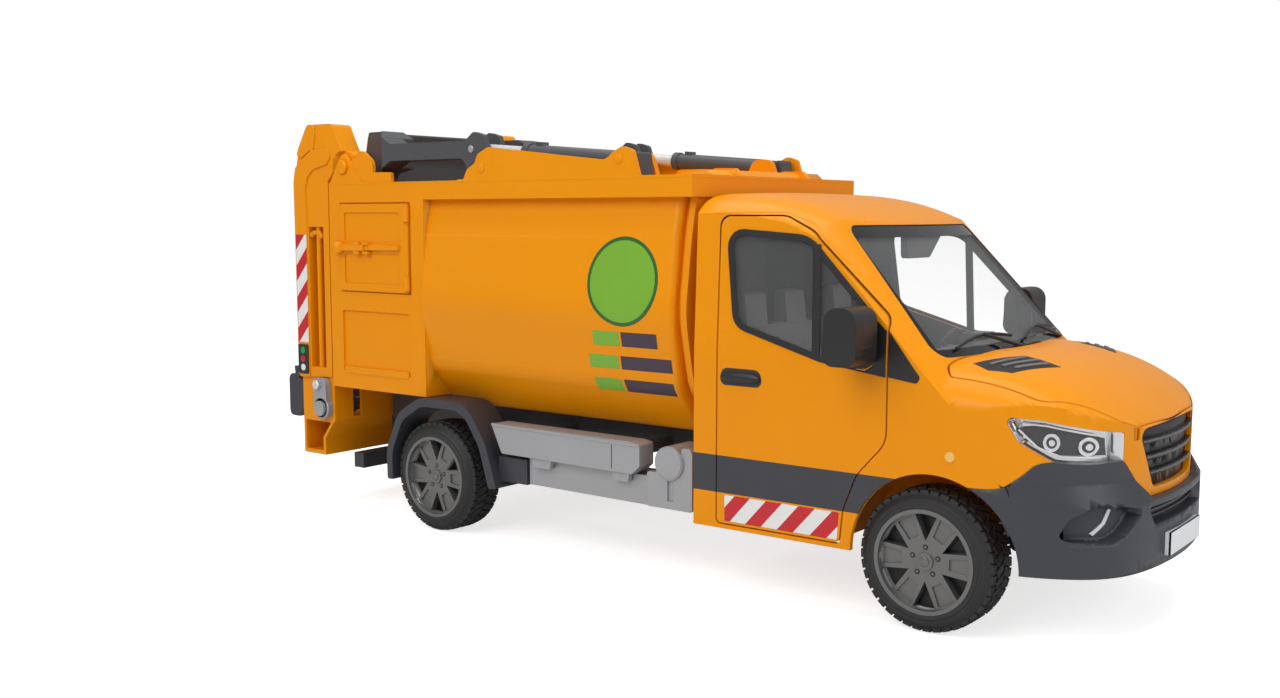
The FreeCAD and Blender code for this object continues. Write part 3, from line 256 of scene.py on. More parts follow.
SCREEN = Finish("windscreen_glazing", (0.96, 0.98, 1.0), 0.02, "clear_glazing", IOR=1.45)
RIM = plastic("rim_silver", (0.18, 0.18, 0.178), 0.30, "silver", Metallic=0.5)
STRIPES = plastic("hazard_stripes", (0.82, 0.82, 0.80), 0.28, "body_orange", shade=0.05)
CHROME = plastic("lamp_reflector", (0.78, 0.79, 0.81), 0.12, "clear_glazing", grain=0.0,
                 Metallic=0.9)

FINISH_OF = {
    "body_orange": ORANGE, "slate_trim": SLATE, "dark_metal": DARK, "silver": SILVER,
    "black_trim": BLACK, "seat_grey": SEAT, "rubber": RUBBER, "plate_white": PLATE,
    "clear_glazing": GLASS,
}

BORDER_Y = 53.6
BORDER_FROM = 90.0
BORDER_TAPER = 0.135
BORDER_TOP = 128.6
BORDER_FOOT = 92.5
BORDER_BLACK = (0.012, 0.012, 0.014)
STRIPE_PITCH = 13.2
STRIPE_SLOPE = 0.9
STRIPE_RED = (0.56, 0.012, 0.02)
RIM_WEB_DEPTH = 5.35
RIM_SHADOW = (0.02, 0.02, 0.022)


def pane(finish, alpha):
    """Thin clear pane: mostly see-through, with a sharp gloss, and more opaque white at a glancing
    view as a painted sheen. Gives its alpha.
    """
    finish.paint(Coat_Weight=PANE_COAT, Coat_Roughness=PANE_GLOSS)
    # Painted sheen: the pane shows more of its white base at a glancing view.
    edge = finish.node("ShaderNodeLayerWeight", inputs={"Blend": 0.25}, output="Facing")
    return alpha + edge * PANE_GLANCE_SHEEN + finish.speckle(PANE_PATCHES) * PANE_DUST


def make_screen_border():
    """Black band printed round the edge of the windscreen."""
    alpha = pane(SCREEN, 0.02)
    height = SCREEN.axis("Z")
    edge_y = BORDER_Y - (height - BORDER_FROM) * BORDER_TAPER
    band = (abs(SCREEN.axis("Y")) > edge_y) | (height > BORDER_TOP) | (height < BORDER_FOOT)
    SCREEN.tint(band, BORDER_BLACK)
    SCREEN.paint(Alpha=alpha | band)


def make_hazard_stripes():
    """Red bars across a white sticker, sloping forward and up."""
    place = (STRIPES.axis("X") - STRIPES.axis("Z") * STRIPE_SLOPE) % STRIPE_PITCH
    STRIPES.tint(place < 0.5 * STRIPE_PITCH, STRIPE_RED, STRIPES.drift)


def make_rim_depth():
    """The closed web behind the spokes stays in shadow."""
    RIM.tint(abs(RIM.axis("Y")) < TYRE_OUT - RIM_WEB_DEPTH, RIM_SHADOW, RIM.drift)


GLASS.paint(Alpha=pane(GLASS, 0.03))
make_screen_border()
make_hazard_stripes()
make_rim_depth()


# Shapes

def rounded(points, steps=5):
    """Outline whose corners (u, v, radius) are arcs."""
    out = []
    for i, (u, v, *rest) in enumerate(points):
        if not rest:
            out.append((u, v))
            continue
        here = Vector((u, v))
        before = Vector(points[i - 1][:2]) - here
        after = Vector(points[(i + 1) % len(points)][:2]) - here
        half = before.angle(after) / 2
        back = min(rest[0] / math.tan(half), 0.49 * before.length, 0.49 * after.length)
        radius = back * math.tan(half)
        start = here + before.normalized() * back
        end = here + after.normalized() * back
        inward = (before.normalized() + after.normalized()).normalized()
        middle = here + inward * radius / math.sin(half)
        arm = start - middle
        turn = arm.angle_signed(end - middle)
        for k in range(steps + 1):
            out.append(tuple(middle + Matrix.Rotation(-turn * k / steps, 2) @ arm))
    return out


def mirrored(outline, side, index):
    """The outline with one of its coordinates turned to a side."""
    return [tuple(side * c if i == index else c for i, c in enumerate(p)) for p in outline]


def disc(radius, steps=STEPS, u=0.0, v=0.0, squash=1.0):
    """Round outline about a centre, narrowed along u by a squash below 1."""
    angles = [2 * math.pi * k / steps for k in range(steps)]
    return [(u + squash * (radius * math.cos(a)), v + radius * math.sin(a)) for a in angles]


def spot(axis, u, v, w):
    """Point with section coordinates u, v and place w along an axis."""
    return {"x": (w, u, v), "y": (u, w, v), "z": (u, v, w)}[axis]


def outward(face, *rises):
    """Places along y at distances out from the face of a flank."""
    side = math.copysign(1, face)
    return [face + side * rise for rise in rises]


class Form:
    """Mesh under construction, from closed shapes."""

    def __init__(self):
        self.verts = []
        self.faces = []

    def skin(self, rings, wrap=False):
        """Closed skin over equal rings of points, with flat ends unless it wraps round."""
        start = len(self.verts)
        n = len(rings[0])
        for ring in rings:
            self.verts += [Vector(p) for p in ring]
        count = len(rings)
        for i in range(count if wrap else count - 1):
            a = start + i * n
            b = start + (i + 1) % count * n
            for k in range(n):
                self.faces.append([a + k, a + (k + 1) % n, b + (k + 1) % n, b + k])
        if not wrap:
            self.faces.append([start + k for k in reversed(range(n))])
            self.faces.append([start + (count - 1) * n + k for k in range(n)])
        return self

    def prism(self, outline, axis, *levels):
        return self.skin([[spot(axis, u, v, w) for u, v in outline] for w in levels])

    def block(self, x0, x1, y0, y1, z0, z1):
        y0, y1 = sorted((y0, y1))
        return self.prism([(x0, y0), (x1, y0), (x1, y1), (x0, y1)], "z", z0, z1)

    def turned(self, profile, axis, u, v, steps=STEPS):
        """Solid of revolution; the profile lists radius and place along the axis."""
        return self.skin([[spot(axis, a, b, w) for a, b in disc(radius, steps, u, v)]
                          for radius, w in profile])

    def boss(self, profile, face, x, z, steps=STEPS):
        """Turned solid on a flank; the profile lists radius and distance out from the face."""
        return self.turned([(radius, *outward(face, rise)) for radius, rise in profile],
                           "y", x, z, steps)

    def tube(self, path, radius, steps=8):
        """Round bar along a path."""
        path = [Vector(p) for p in path]
        rings = []
        up = Vector((0, 0, 1))
        for i, point in enumerate(path):
            ahead = (path[min(i + 1, len(path) - 1)] - path[max(i - 1, 0)]).normalized()
            if abs(ahead.dot(up)) > 0.95:
                up = Vector((0, 1, 0))
            across = ahead.cross(up).normalized()
            rise = across.cross(ahead)
            rings.append([point + across * a + rise * b for a, b in disc(radius, steps)])
        return self.skin(rings)

    def shell(self, sheet, near, far):
        """Closed shell between two copies of an open sheet, given as their points."""
        start = len(self.verts)
        n = len(near)
        self.verts += near + far
        for face in sheet.faces:
            ids = [start + v.index for v in face.verts]
            self.faces.append(ids)
            self.faces.append([i + n for i in reversed(ids)])
        for edge in sheet.edges:
            if edge.is_boundary:
                a, b = (start + v.index for v in edge.verts)
                self.faces.append([a, b, b + n, a + n])
        return self

    def mesh(self, name):
        mesh = bpy.data.meshes.new(name)
        mesh.from_pydata([at(*v) for v in self.verts], [], self.faces)
        work = bmesh.new()
        work.from_mesh(mesh)
        bmesh.ops.recalc_face_normals(work, faces=work.faces)
        work.to_mesh(mesh)
        work.free()
        return mesh


class Drape:
    """Skin of some CAD nodes, on which flat outlines are laid along an axis."""

    OUTSIDE = 400
    FLANK = 62

    def __init__(self, axis, side, *nodes):
        self.axis = axis
        self.side = side
        points = []
        polygons = []
        for node in nodes:
            mesh = frame["nodes"][node].data
            start = len(points)
            points += [v.co.copy() for v in mesh.vertices]
            polygons += [[start + i for i in p.vertices] for p in mesh.polygons]
        self.tree = BVHTree.FromPolygons(points, polygons)
        self.ahead = Vector(spot(axis, 0, 0, -side))

    def seen_from(self, u, v, distance):
        return at(*spot(self.axis, u, v, distance * self.side))

    def point(self, u, v, height):
        """Place on the skin, raised by a height; beside the skin, its nearest place."""
        place, normal = self.tree.ray_cast(self.seen_from(u, v, self.OUTSIDE), self.ahead)[:2]
        if place is None:
            place, normal = self.tree.find_nearest(self.seen_from(u, v, self.FLANK))[:2]
        if normal.dot(self.ahead) > 0:
            normal = -normal
        place = place / MM + normal * height
        return Vector((place.x - AXLE_X, place.y, place.z))

    def strip(self, form, path, width, height, closed=False, cell=3.0, foot=-0.15):
        """Raised ribbon that follows a path."""
        dense = []
        count = len(path)
        for i in range(count if closed else count - 1):
            a = Vector(path[i])
            b = Vector(path[(i + 1) % count])
            cuts = max(1, math.ceil((b - a).length / cell))
            dense += [a.lerp(b, k / cuts) for k in range(cuts)]
        if not closed:
            dense.append(Vector(path[-1]))
        rings = []
        last = len(dense)
        for i, here in enumerate(dense):
            before = dense[i - 1] if closed or i else here
            after = dense[(i + 1) % last] if closed or i < last - 1 else here
            ahead = (after - before).normalized()
            out = Vector((-ahead.y, ahead.x)) * width / 2
            a = here - out
            b = here + out
            rings.append([self.point(*a, foot), self.point(*a, height),
                          self.point(*b, height), self.point(*b, foot)])
        return form.skin(rings, wrap=closed)

    def sheet(self, form, outline, height, cell=4.0, foot=-0.1):
        """Thin sticker or plate that fills an outline."""
        work = bmesh.new()
        work.faces.new([work.verts.new((u, v, 0)) for u, v in outline])
        for k, across in enumerate((Vector((1, 0, 0)), Vector((0, 1, 0)))):
            low = min(p[k] for p in outline)
            high = max(p[k] for p in outline)
            cuts = math.ceil((high - low) / cell)
            for i in range(1, cuts):
                everything = work.verts[:] + work.edges[:] + work.faces[:]
                place = across * (low + (high - low) * i / cuts)
                bmesh.ops.bisect_plane(work, geom=everything, plane_co=place, plane_no=across,
                                       dist=1e-6)
        bmesh.ops.triangulate(work, faces=work.faces)
        work.verts.index_update()
        top, bottom = ([self.point(v.co.x, v.co.y, level) for v in work.verts]
                       for level in (height, foot))
        form.shell(work, top, bottom)
        work.free()
        return form


class Net(Wiring):
    """Geometry node group with named inputs."""

    def __init__(self, name):
        super().__init__(bpy.data.node_groups.new(name, "GeometryNodeTree"))
        self.tree.interface.new_socket("Geometry", in_out="OUTPUT",
                                       socket_type="NodeSocketGeometry")
        self.entry = self.tree.nodes.new("NodeGroupInput")
        self.exit = self.tree.nodes.new("NodeGroupOutput")

    def value(self, name, kind):
        self.tree.interface.new_socket(name, in_out="INPUT", socket_type="NodeSocket" + kind)
        return Signal(self, self.entry.outputs[name])

    def finish(self, geometry, material):
        solid = self.node("GeometryNodeRealizeInstances", inputs={0: geometry})
        painted = self.node("GeometryNodeSetMaterial",
                            inputs={"Geometry": solid, "Material": material})
        self.feed(self.exit.inputs[0], painted)

    def grown(self, name, **values):
        """Mesh that the group makes with these inputs."""
        carrier = bpy.data.objects.new(name, bpy.data.meshes.new(name))
        bpy.context.scene.collection.objects.link(carrier)
        modifier = carrier.modifiers.new("grow", "NODES")
        modifier.node_group = self.tree
        for item in self.tree.interface.items_tree:
            if item.in_out == "INPUT":
                modifier[item.identifier] = values[item.name.lower()]
        graph = bpy.context.evaluated_depsgraph_get()
        mesh = bpy.data.meshes.new_from_object(carrier.evaluated_get(graph))
        carrier.modifiers.remove(modifier)
        bpy.data.objects.remove(carrier)
        return mesh


def make_tread_net():
    """Tread blocks set round an axis along y, each turned about its own radius."""
    net = Net("tread_ring")
    count = net.value("Count", "Int")
    radius = net.value("Radius", "Float")
    size = net.value("Size", "Vector")
    twist = net.value("Twist", "Float")
    turn = net.value("Turn", "Float")
    centre = net.value("Centre", "Vector")
    material = net.value("Material", "Material")
    circle = net.node("GeometryNodeMeshCircle", inputs={"Vertices": count, "Radius": radius})
    outside = net.node("GeometryNodeInputPosition")
    facing = net.node("FunctionNodeAlignRotationToVector", {"axis": "X"}, {"Vector": outside})
    lean = net.node("ShaderNodeCombineXYZ", inputs={0: twist})
    leaning = net.node("FunctionNodeEulerToRotation", inputs={0: lean})
    whole = net.node("FunctionNodeRotateRotation", {"rotation_space": "LOCAL"},
                     {0: facing, 1: leaning})
    cube = net.node("GeometryNodeMeshCube", inputs={"Size": size})
    ring = net.node("GeometryNodeInstanceOnPoints",
                    inputs={"Points": circle, "Instance": cube, "Rotation": whole})
    spin = net.node("ShaderNodeCombineXYZ", inputs={2: turn})
    spun = net.node("GeometryNodeTransform", inputs={"Geometry": ring, "Rotation": spin})
    upright = net.node("GeometryNodeTransform", inputs={
        "Geometry": spun, "Rotation": (math.pi / 2, 0, 0), "Translation": centre})
    net.finish(upright, material)
    return net


# Pieces

BODY_OF = {}
for body_name, nodes in frame["record"]["behaviour"]["bodies"].items():
    for node_name in nodes:
        BODY_OF[node_name] = body_name
SLOT_OF = {row["node"]: row["material_slot"] for row in frame["record"]["subparts"]}


def piece(name, shape, finish, body):
    """A finished form or mesh that rides on a body."""
    mesh = shape.mesh(name) if isinstance(shape, Form) else shape
    made = bpy.data.objects.new(name, mesh)
    bpy.context.scene.collection.objects.link(made)
    mesh.materials.clear()
    mesh.materials.append(finish.material)
    mesh.polygons.foreach_set("material_index", [0] * len(mesh.polygons))
    mesh.polygons.foreach_set("use_smooth", [True] * len(mesh.polygons))
    mesh.set_sharp_from_angle(angle=CREASE)
    mesh.update()
    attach(made, body)
    return made


def dress(node, finish=None):
    """A smooth-shaded copy of a CAD node, standing for it."""
    mesh = frame["nodes"][node].data.copy()
    work = bmesh.new()
    work.from_mesh(mesh)
    bmesh.ops.remove_doubles(work, verts=work.verts, dist=MERGE)
    bmesh.ops.dissolve_limit(work, angle_limit=FLAT, use_dissolve_boundaries=False,
                             verts=work.verts, edges=work.edges)
    work.to_mesh(mesh)
    work.free()
    slot = SLOT_OF[node]
    made = piece(node + "_skin", mesh, finish or FINISH_OF[slot], BODY_OF[node])
    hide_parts(node)
    weigh = made.modifiers.new("large_faces_lead", "WEIGHTED_NORMAL")
    weigh.keep_sharp = True
    weigh.weight = 80


def join(name, meshes):
    """One mesh of several."""
    whole = bmesh.new()
    for mesh in meshes:
        whole.from_mesh(mesh)
    mesh = bpy.data.meshes.new(name)
    whole.to_mesh(mesh)
    whole.free()
    return mesh


def shell_copy(name, node, keep, near, far, finish, body):
    """Thin closed skin laid along those faces of a CAD node that pass a test."""
    work = bmesh.new()
    work.from_mesh(frame["nodes"][node].data)
    bmesh.ops.remove_doubles(work, verts=work.verts, dist=MERGE)
    work.normal_update()
    dropped = [f for f in work.faces if not keep(f.normal, f.calc_center_median() / MM)]
    bmesh.ops.delete(work, geom=dropped, context="FACES")
    work.normal_update()
    normals = {v: v.normal.copy() for v in work.verts}
    for vert, normal in normals.items():
        vert.co += normal * near * MM
    made = bmesh.ops.extrude_face_region(work, geom=list(work.faces))
    for item in made["geom"]:
        if isinstance(item, bmesh.types.BMVert):
            item.co += item.normal * (far - near) * MM
    bmesh.ops.recalc_face_normals(work, faces=work.faces)
    # The extrusion's order changes from run to run, so both lists are put in order of place.
    for items, place in ((work.verts, lambda v: v.co[:]),
                         (work.faces, lambda f: f.calc_center_median()[:])):
        rank = {item: i for i, item in enumerate(sorted(items, key=place))}
        items.sort(key=rank.get)
    mesh = bpy.data.meshes.new(name)
    work.to_mesh(mesh)
    work.free()
    piece(name, mesh, finish, body)


# Wheels

WALL_IN_R = 17.45
TYRE_STEPS = 72
TREAD_BASE = 23.2
# Half of the tyre's section: radius, and how far inside its widest place
TYRE_SECTION = [(WALL_IN_R, 0.2), (18.2, 0.0), (18.9, 0.0), (19.1, 0.35), (20.0, 0.45),
                (20.2, 0.3), (21.0, 0.9), (21.2, 1.3), (22.3, 2.2), (TREAD_BASE - 0.3, 3.0),
                (TREAD_BASE, 4.4)]
TREAD_COUNT = 40
TREAD_D = 0.8
TREAD_BLOCK = (2.8, 4.8)
TREAD_ROW_Y = 2.6
TREAD_TWIST = 0.42
SHOULDER_RIB = (1.8, 2.9, 2.8)
SHOULDER_R = 22.6
SHOULDER_IN = 3.7
HUB_DEPTH = 2.2
NUT_CIRCLE = 4.7
NUT_ANGLES = [2 * math.pi * (k + 0.25) / 5 for k in range(5)]
NUT_WELL = [(0.95, -0.4), (0.95, 0.08)]
NUT = [(0.55, 0.0), (0.55, 0.2), (0.3, 0.4)]
HUB_CAP = [(1.7, 0.5), (1.7, 0.95), (1.3, 1.15)]
TREAD_NET = make_tread_net()


def tyre_meshes(x, y, z):
    """Turned tyre with rings on its walls, two staggered rows of blocks and shoulder ribs."""
    w = (TYRE_OUT - TYRE_IN) / 2
    half = [(r, w - inset) for r, inset in TYRE_SECTION]
    profile = half + [(r, -place) for r, place in reversed(half)]
    rings = [[(x + a, y + place, z + b) for a, b in disc(r, TYRE_STEPS)] for r, place in profile]
    meshes = [Form().skin(rings, wrap=True).mesh("tyre")]
    block_r = TREAD_BASE + TREAD_D / 2 - 0.1
    rows = [(-TREAD_ROW_Y, 0.0, (TREAD_D, *TREAD_BLOCK), TREAD_TWIST, block_r),
            (TREAD_ROW_Y, 0.5, (TREAD_D, *TREAD_BLOCK), -TREAD_TWIST, block_r),
            (-(w - SHOULDER_IN), 0.25, SHOULDER_RIB, 0.0, SHOULDER_R),
            (w - SHOULDER_IN, 0.25, SHOULDER_RIB, 0.0, SHOULDER_R)]
    for offset, shift, size, twist, radius in rows:
        meshes.append(TREAD_NET.grown(
            "tread", count=TREAD_COUNT, radius=radius * MM, size=[s * MM for s in size],
            twist=twist, turn=shift * 2 * math.pi / TREAD_COUNT, centre=at(x, y + offset, z),
            material=RUBBER.material))
    return meshes


def make_wheels():
    for axle, x in (("front", 0.0), ("rear", REAR_AXLE)):
        nut_places = [(x + NUT_CIRCLE * math.cos(a), TYRE_R + NUT_CIRCLE * math.sin(a))
                      for a in NUT_ANGLES]
        for side, name in SIDES:
            end = "%s_%s" % (axle, name)
            body = "wheel_" + end
            y = side * (TYRE_IN + TYRE_OUT) / 2
            mesh = join("tyre_tread_" + end, tyre_meshes(x, y, TYRE_R))
            tyre = piece("tyre_tread_" + end, mesh, RUBBER, body)
            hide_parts("tyre_%s_%s" % (axle, name))
            face = side * (TYRE_OUT - HUB_DEPTH)
            wells = Form()
            nuts = Form()
            for place in nut_places:
                wells.boss(NUT_WELL, face, *place, 12)
                nuts.boss(NUT, face, *place, 8)
            nuts.boss(HUB_CAP, face, x, TYRE_R)
            piece("wheel_nuts_" + end, wells, BLACK, body)
            piece("wheel_cap_" + end, nuts, RIM, body)


# Cab. Outlines on a flank list x and z, on the front y and z, on the bonnet x and y, and a
# radius where a corner is rounded.

WINDOW = [(-76.8, 130.8, 5), (-73.0, 98.0, 6), (-38.0, 88.0, 18), (-18.2, 86.6, 4),
          (-20.5, 104.0, 6), (-44.5, 128.6, 12)]
WINDOW_BAR = [(-40.2, 88.6), (-41.2, 126.6)]
MIRROR_BASE = [(-14.1, 83.6), (-14.1, 98.8), (-20.6, 104.6), (-21.6, 99.0), (-19.6, 88.4),
               (-33.5, 87.8), (-33.0, 86.2)]
HAZARD_PANEL = [(-77.0, 26.9, 0.5), (-31.2, 26.9, 0.5), (-30.6, 36.4, 0.5), (-77.2, 36.4, 0.5)]
SEAL = (2.3, 0.35)
WINDOW_POST = (3.0, 0.45)
# Dark sheet in the recess round the door handle: painted shade.
HANDLE_POCKET_SHADE = [(-79.8, 76.2, 2.4), (-61.4, 76.2, 2.4), (-62.6, 82.4, 3), (-78.6, 82.4, 3)]
HANDLE = (-70.6, 79.2)
HANDLE_HALF = 8.2
HANDLE_RISE = 0.7
HANDLE_HIGH = 1.75
FENDER_CORNER = [(-13.1, 83.8), (-3.0, 82.4, 1.2), (-1.8, 84.4, 1.2), (-13.1, 98.6)]
REPEATER = (9.0, 59.9)
REPEATER_R = 1.7
REPEATER_D = 0.35
GUTTER_BEAD = (0.5, 0.12)
GUTTER = [(-84.0, 137.3), (-55.5, 137.5), (-44.0, 133.6), (-30.0, 120.0)]


def handle_rings(side):
    """Sections of the grip, from its rear end to its front end."""
    x, z = HANDLE
    rings = []
    for share in (-1.0, -0.94, -0.8, -0.5, 0, 0.5, 0.8, 0.94, 1.0):
        swell = math.sqrt(max(0.03, 1 - share ** 4))
        rings.append([(x + HANDLE_HALF * share, side * CAB_SIDE + side * (HANDLE_RISE + a * swell),
                       z + HANDLE_HIGH * b * swell) for a, b in disc(1, 14)])
    return rings


def make_door_dress():
    for side, name in SIDES:
        body = "cab_door_" + name
        skin = Drape("y", side, "door_" + name, "door_window_" + name)
        seal = skin.strip(Form(), rounded(WINDOW), *SEAL, closed=True)
        skin.strip(seal, WINDOW_BAR, *WINDOW_POST)
        piece("window_seal_" + name, seal, BLACK, body)
        piece("mirror_base_" + name, skin.sheet(Form(), MIRROR_BASE, TRIM), BLACK, body)
        panel = skin.sheet(Form(), rounded(HAZARD_PANEL, 2), STICKER)
        piece("hazard_panel_" + name, panel, STRIPES, body)
        # Painted shade in the handle's recess.
        pocket_shade = skin.sheet(Form(), rounded(HANDLE_POCKET_SHADE), 0.06)
        piece("handle_pocket_shade_" + name, pocket_shade, MATTE_BLACK, body)
        piece("door_handle_" + name, Form().skin(handle_rings(side)), BLACK, body)

        fender = Drape("y", side, "cab_shell")
        corner = fender.sheet(Form(), rounded(FENDER_CORNER), TRIM)
        piece("fender_corner_" + name, corner, BLACK, "truck")
        repeater = fender.sheet(Form(), disc(REPEATER_R, 14, *REPEATER), REPEATER_D)
        piece("side_repeater_" + name, repeater, AMBER, "truck")
        gutter = fender.strip(Form(), GUTTER, *GUTTER_BEAD)
        piece("roof_gutter_" + name, gutter, ORANGE, "truck")


MIRROR_FACE = [(68.4, 90.0, 2), (79.4, 90.0, 2), (79.0, 104.6, 3), (68.6, 104.6, 3)]
MIRROR_FACE_X = (-28.35, -27.6)
MIRROR_LINE = [(-15.9, 67.4, 94.4), (-15.4, 73.0, 94.2), (-15.9, 80.0, 94.4)]


def make_mirrors():
    for side, name in SIDES:
        body = "cab_door_" + name
        face = Form().prism(rounded(mirrored(MIRROR_FACE, side, 0)), "x", *MIRROR_FACE_X)
        piece("mirror_glass_" + name, face, MIRROR, body)
        line = Form().tube(mirrored(MIRROR_LINE, side, 1), 0.35)
        piece("mirror_line_" + name, line, BLACK, body)


WIPERS = ((-46.0, -6.0), (3.0, 41.0))
WIPER_Z = 92.2
WIPER_BOW = 2.2
WIPER_RISE = 1.6
WIPER_ARM_Z = (90.4, 94.9)
MIRROR_INSIDE = [(-9.0, 120.6, 2), (9.5, 120.6, 2), (21.5, 131.0), (-9.5, 131.0)]
MIRROR_INSIDE_X = (-36.5, -33.8)


def make_screen_dress():
    glass = Drape("x", 1, "windscreen")
    for k, (start, end) in enumerate(WIPERS):
        blade = []
        for t in (0, 0.2, 0.4, 0.6, 0.8, 1):
            height = WIPER_Z + WIPER_BOW * math.sin(math.pi * t) + WIPER_RISE * t
            blade.append(glass.point(start + (end - start) * t, height, 1.0))
        wiper = Form().tube(blade, 0.55)
        wiper.tube([glass.point(end + 2, WIPER_ARM_Z[0], 0.6),
                    glass.point(start + (end - start) * 0.5, WIPER_ARM_Z[1], 1.9)], 0.6)
        piece("wiper_%d" % k, wiper, BLACK, "truck")
    inside = Form().prism(rounded(MIRROR_INSIDE), "x", *MIRROR_INSIDE_X)
    piece("mirror_inside", inside, BLACK, "truck")


VENT = [(9.0, 46.6), (18.6, 27.4), (31.0, 27.6), (22.8, 48.0), (15.5, 50.2)]
VENT_D = 0.12
VENT_RIBS = (2.4, 6.4, 10.4)
VENT_RIB = (1.3, 0.5)


def make_bonnet_dress():
    skin = Drape("z", 1, "bonnet")
    for side, name in SIDES:
        vent = skin.sheet(Form(), mirrored(VENT, side, 1), VENT_D)
        piece("bonnet_vent_" + name, vent, BLACK, "bonnet")
        ribs = Form()
        for shift in VENT_RIBS:
            rib = [(12.0 + shift * 0.95, 45.8 - 0.2 * shift), (17.6 + shift * 0.95, 29.6)]
            skin.strip(ribs, mirrored(rib, side, 1), *VENT_RIB)
        piece("bonnet_ribs_" + name, ribs, SEAT, "bonnet")


# Where the painted shade inside the cab and the doors is laid.
CAB_SHADE_FOOT = 30.0
CAB_SHADE_SIDE = 61.4
CAB_SHADE_FRONT = AXLE_X + 4.0
CAB_SHADE_FACING = 0.35
CAB_SHADE_SPAN = (0.05, 0.12)
CAB_HEART = Vector((AXLE_X - 45.0, 0.0, 88.0))


def make_cab_painted_shade():
    """Painted shade: a near-black skin over the inner faces of the cab and the doors, where the
    closed cab lies in shade.
    """
    def faces_in(normal, centre):
        facing = (CAB_HEART - centre).normalized().dot(normal) > CAB_SHADE_FACING
        behind = centre.x < CAB_SHADE_FRONT and centre.z > CAB_SHADE_FOOT
        return facing and behind and abs(centre.y) < CAB_SHADE_SIDE

    shell_copy("cab_lining", "cab_shell", faces_in, *CAB_SHADE_SPAN, MATTE_BLACK, "truck")
    for _, name in SIDES:
        shell_copy("door_painted_shade_" + name, "door_" + name, faces_in, *CAB_SHADE_SPAN, MATTE_BLACK,
                   "cab_door_" + name)


HOUSING_SPAN = (-0.25, -0.1)
LAMP_BOWL = [(29.5, 70.6), (34.0, 65.4), (39.5, 62.6), (52.8, 62.0), (52.4, 67.4), (45.0, 69.4),
             (37.0, 71.4)]
LAMP_EYES = ((48.6, 65.0, 3.0), (39.3, 66.4, 2.9))
EYE_SQUASH = 0.8
LAMP_GUIDES = (([(30.0, 70.2), (35.4, 64.9), (42.0, 62.0), (51.6, 61.5)], 0.7),
               ([(31.0, 72.2), (38.0, 71.6), (46.0, 69.7), (51.4, 68.3)], 0.6))


def make_headlamps():
    """Inside each lens: a bright housing, a dark bowl with two bright eyes, and light guides."""
    for side, name in SIDES:
        def back(normal, centre):
            return normal.x * 0.7 + normal.y * side * 0.7 < -0.5 and centre.y * side > 0

        shell_copy("lamp_back_" + name, "headlamps", back, *HOUSING_SPAN, CHROME, "truck")
        lens = Drape("y", side, "headlamps")
        dark = lens.sheet(Form(), LAMP_BOWL, -2.4, foot=-2.9)
        bright = Form()
        for x, z, radius in LAMP_EYES:
            for form, share, steps, top, foot in ((bright, 1.0, 20, -1.7, -2.3),
                                                  (dark, 0.62, 16, -1.4, -1.8),
                                                  (bright, 0.36, 12, -1.1, -1.5)):
                outline = disc(share * radius, steps, x, z, EYE_SQUASH)
                lens.sheet(form, outline, top, cell=2, foot=foot)
        for path, width in LAMP_GUIDES:
            lens.strip(bright, path, width, -1.6, cell=2, foot=-2.2)
        piece("lamp_bowls_" + name, dark, MATTE_BLACK, "truck")
        piece("lamp_eyes_" + name, bright, CHROME, "truck")


# Painted highlights: grey beads along the lower edges of the grille's slats stand for light caught
# on those edges.
GRILLE_HIGHLIGHT_Z = (54.35, 59.65, 64.95)
GRILLE_FOOT = 54.0
GRILLE_HALF = 21.4
GRILLE_FLARE = 0.46
GRILLE_HIGHLIGHT_BEAD = (0.5, 0.12)


def make_grille_highlights():
    skin = Drape("x", 1, "grille")
    # Grey beads as painted highlights on the slat edges.
    highlights = Form()
    for z in GRILLE_HIGHLIGHT_Z:
        half = GRILLE_HALF + (z - GRILLE_FOOT) * GRILLE_FLARE
        skin.strip(highlights, [(-half, z), (half, z)], *GRILLE_HIGHLIGHT_BEAD)
    piece("grille_painted_highlights", highlights, SEAT, "truck")


FOG_STRIP = [(41.6, 45.4), (43.4, 41.0), (46.6, 37.6)]
FOG_BEAD = (1.1, 0.5)
BUMPER_CORNER = [(25.0, 47.8), (29.6, 47.8), (29.2, 52.4), (25.8, 52.4)]
BUMPER_CORNER_Y = (58.6, 60.5)
INTAKE = [(-28.2, 44.2, 0.5), (-24.2, 39.0, 0.5), (24.2, 39.0, 0.5), (28.2, 44.2, 0.5)]
SLATS = (40.7, 42.6)
SLAT_HALF = 25.0
SLAT_BEAD = (0.5, 1.0)
PLATE_X = (64.0, 64.69)
PLATE_HALF = 16.5
PLATE_Z = (27.2, 34.6)
PLATE_EDGE = 0.6


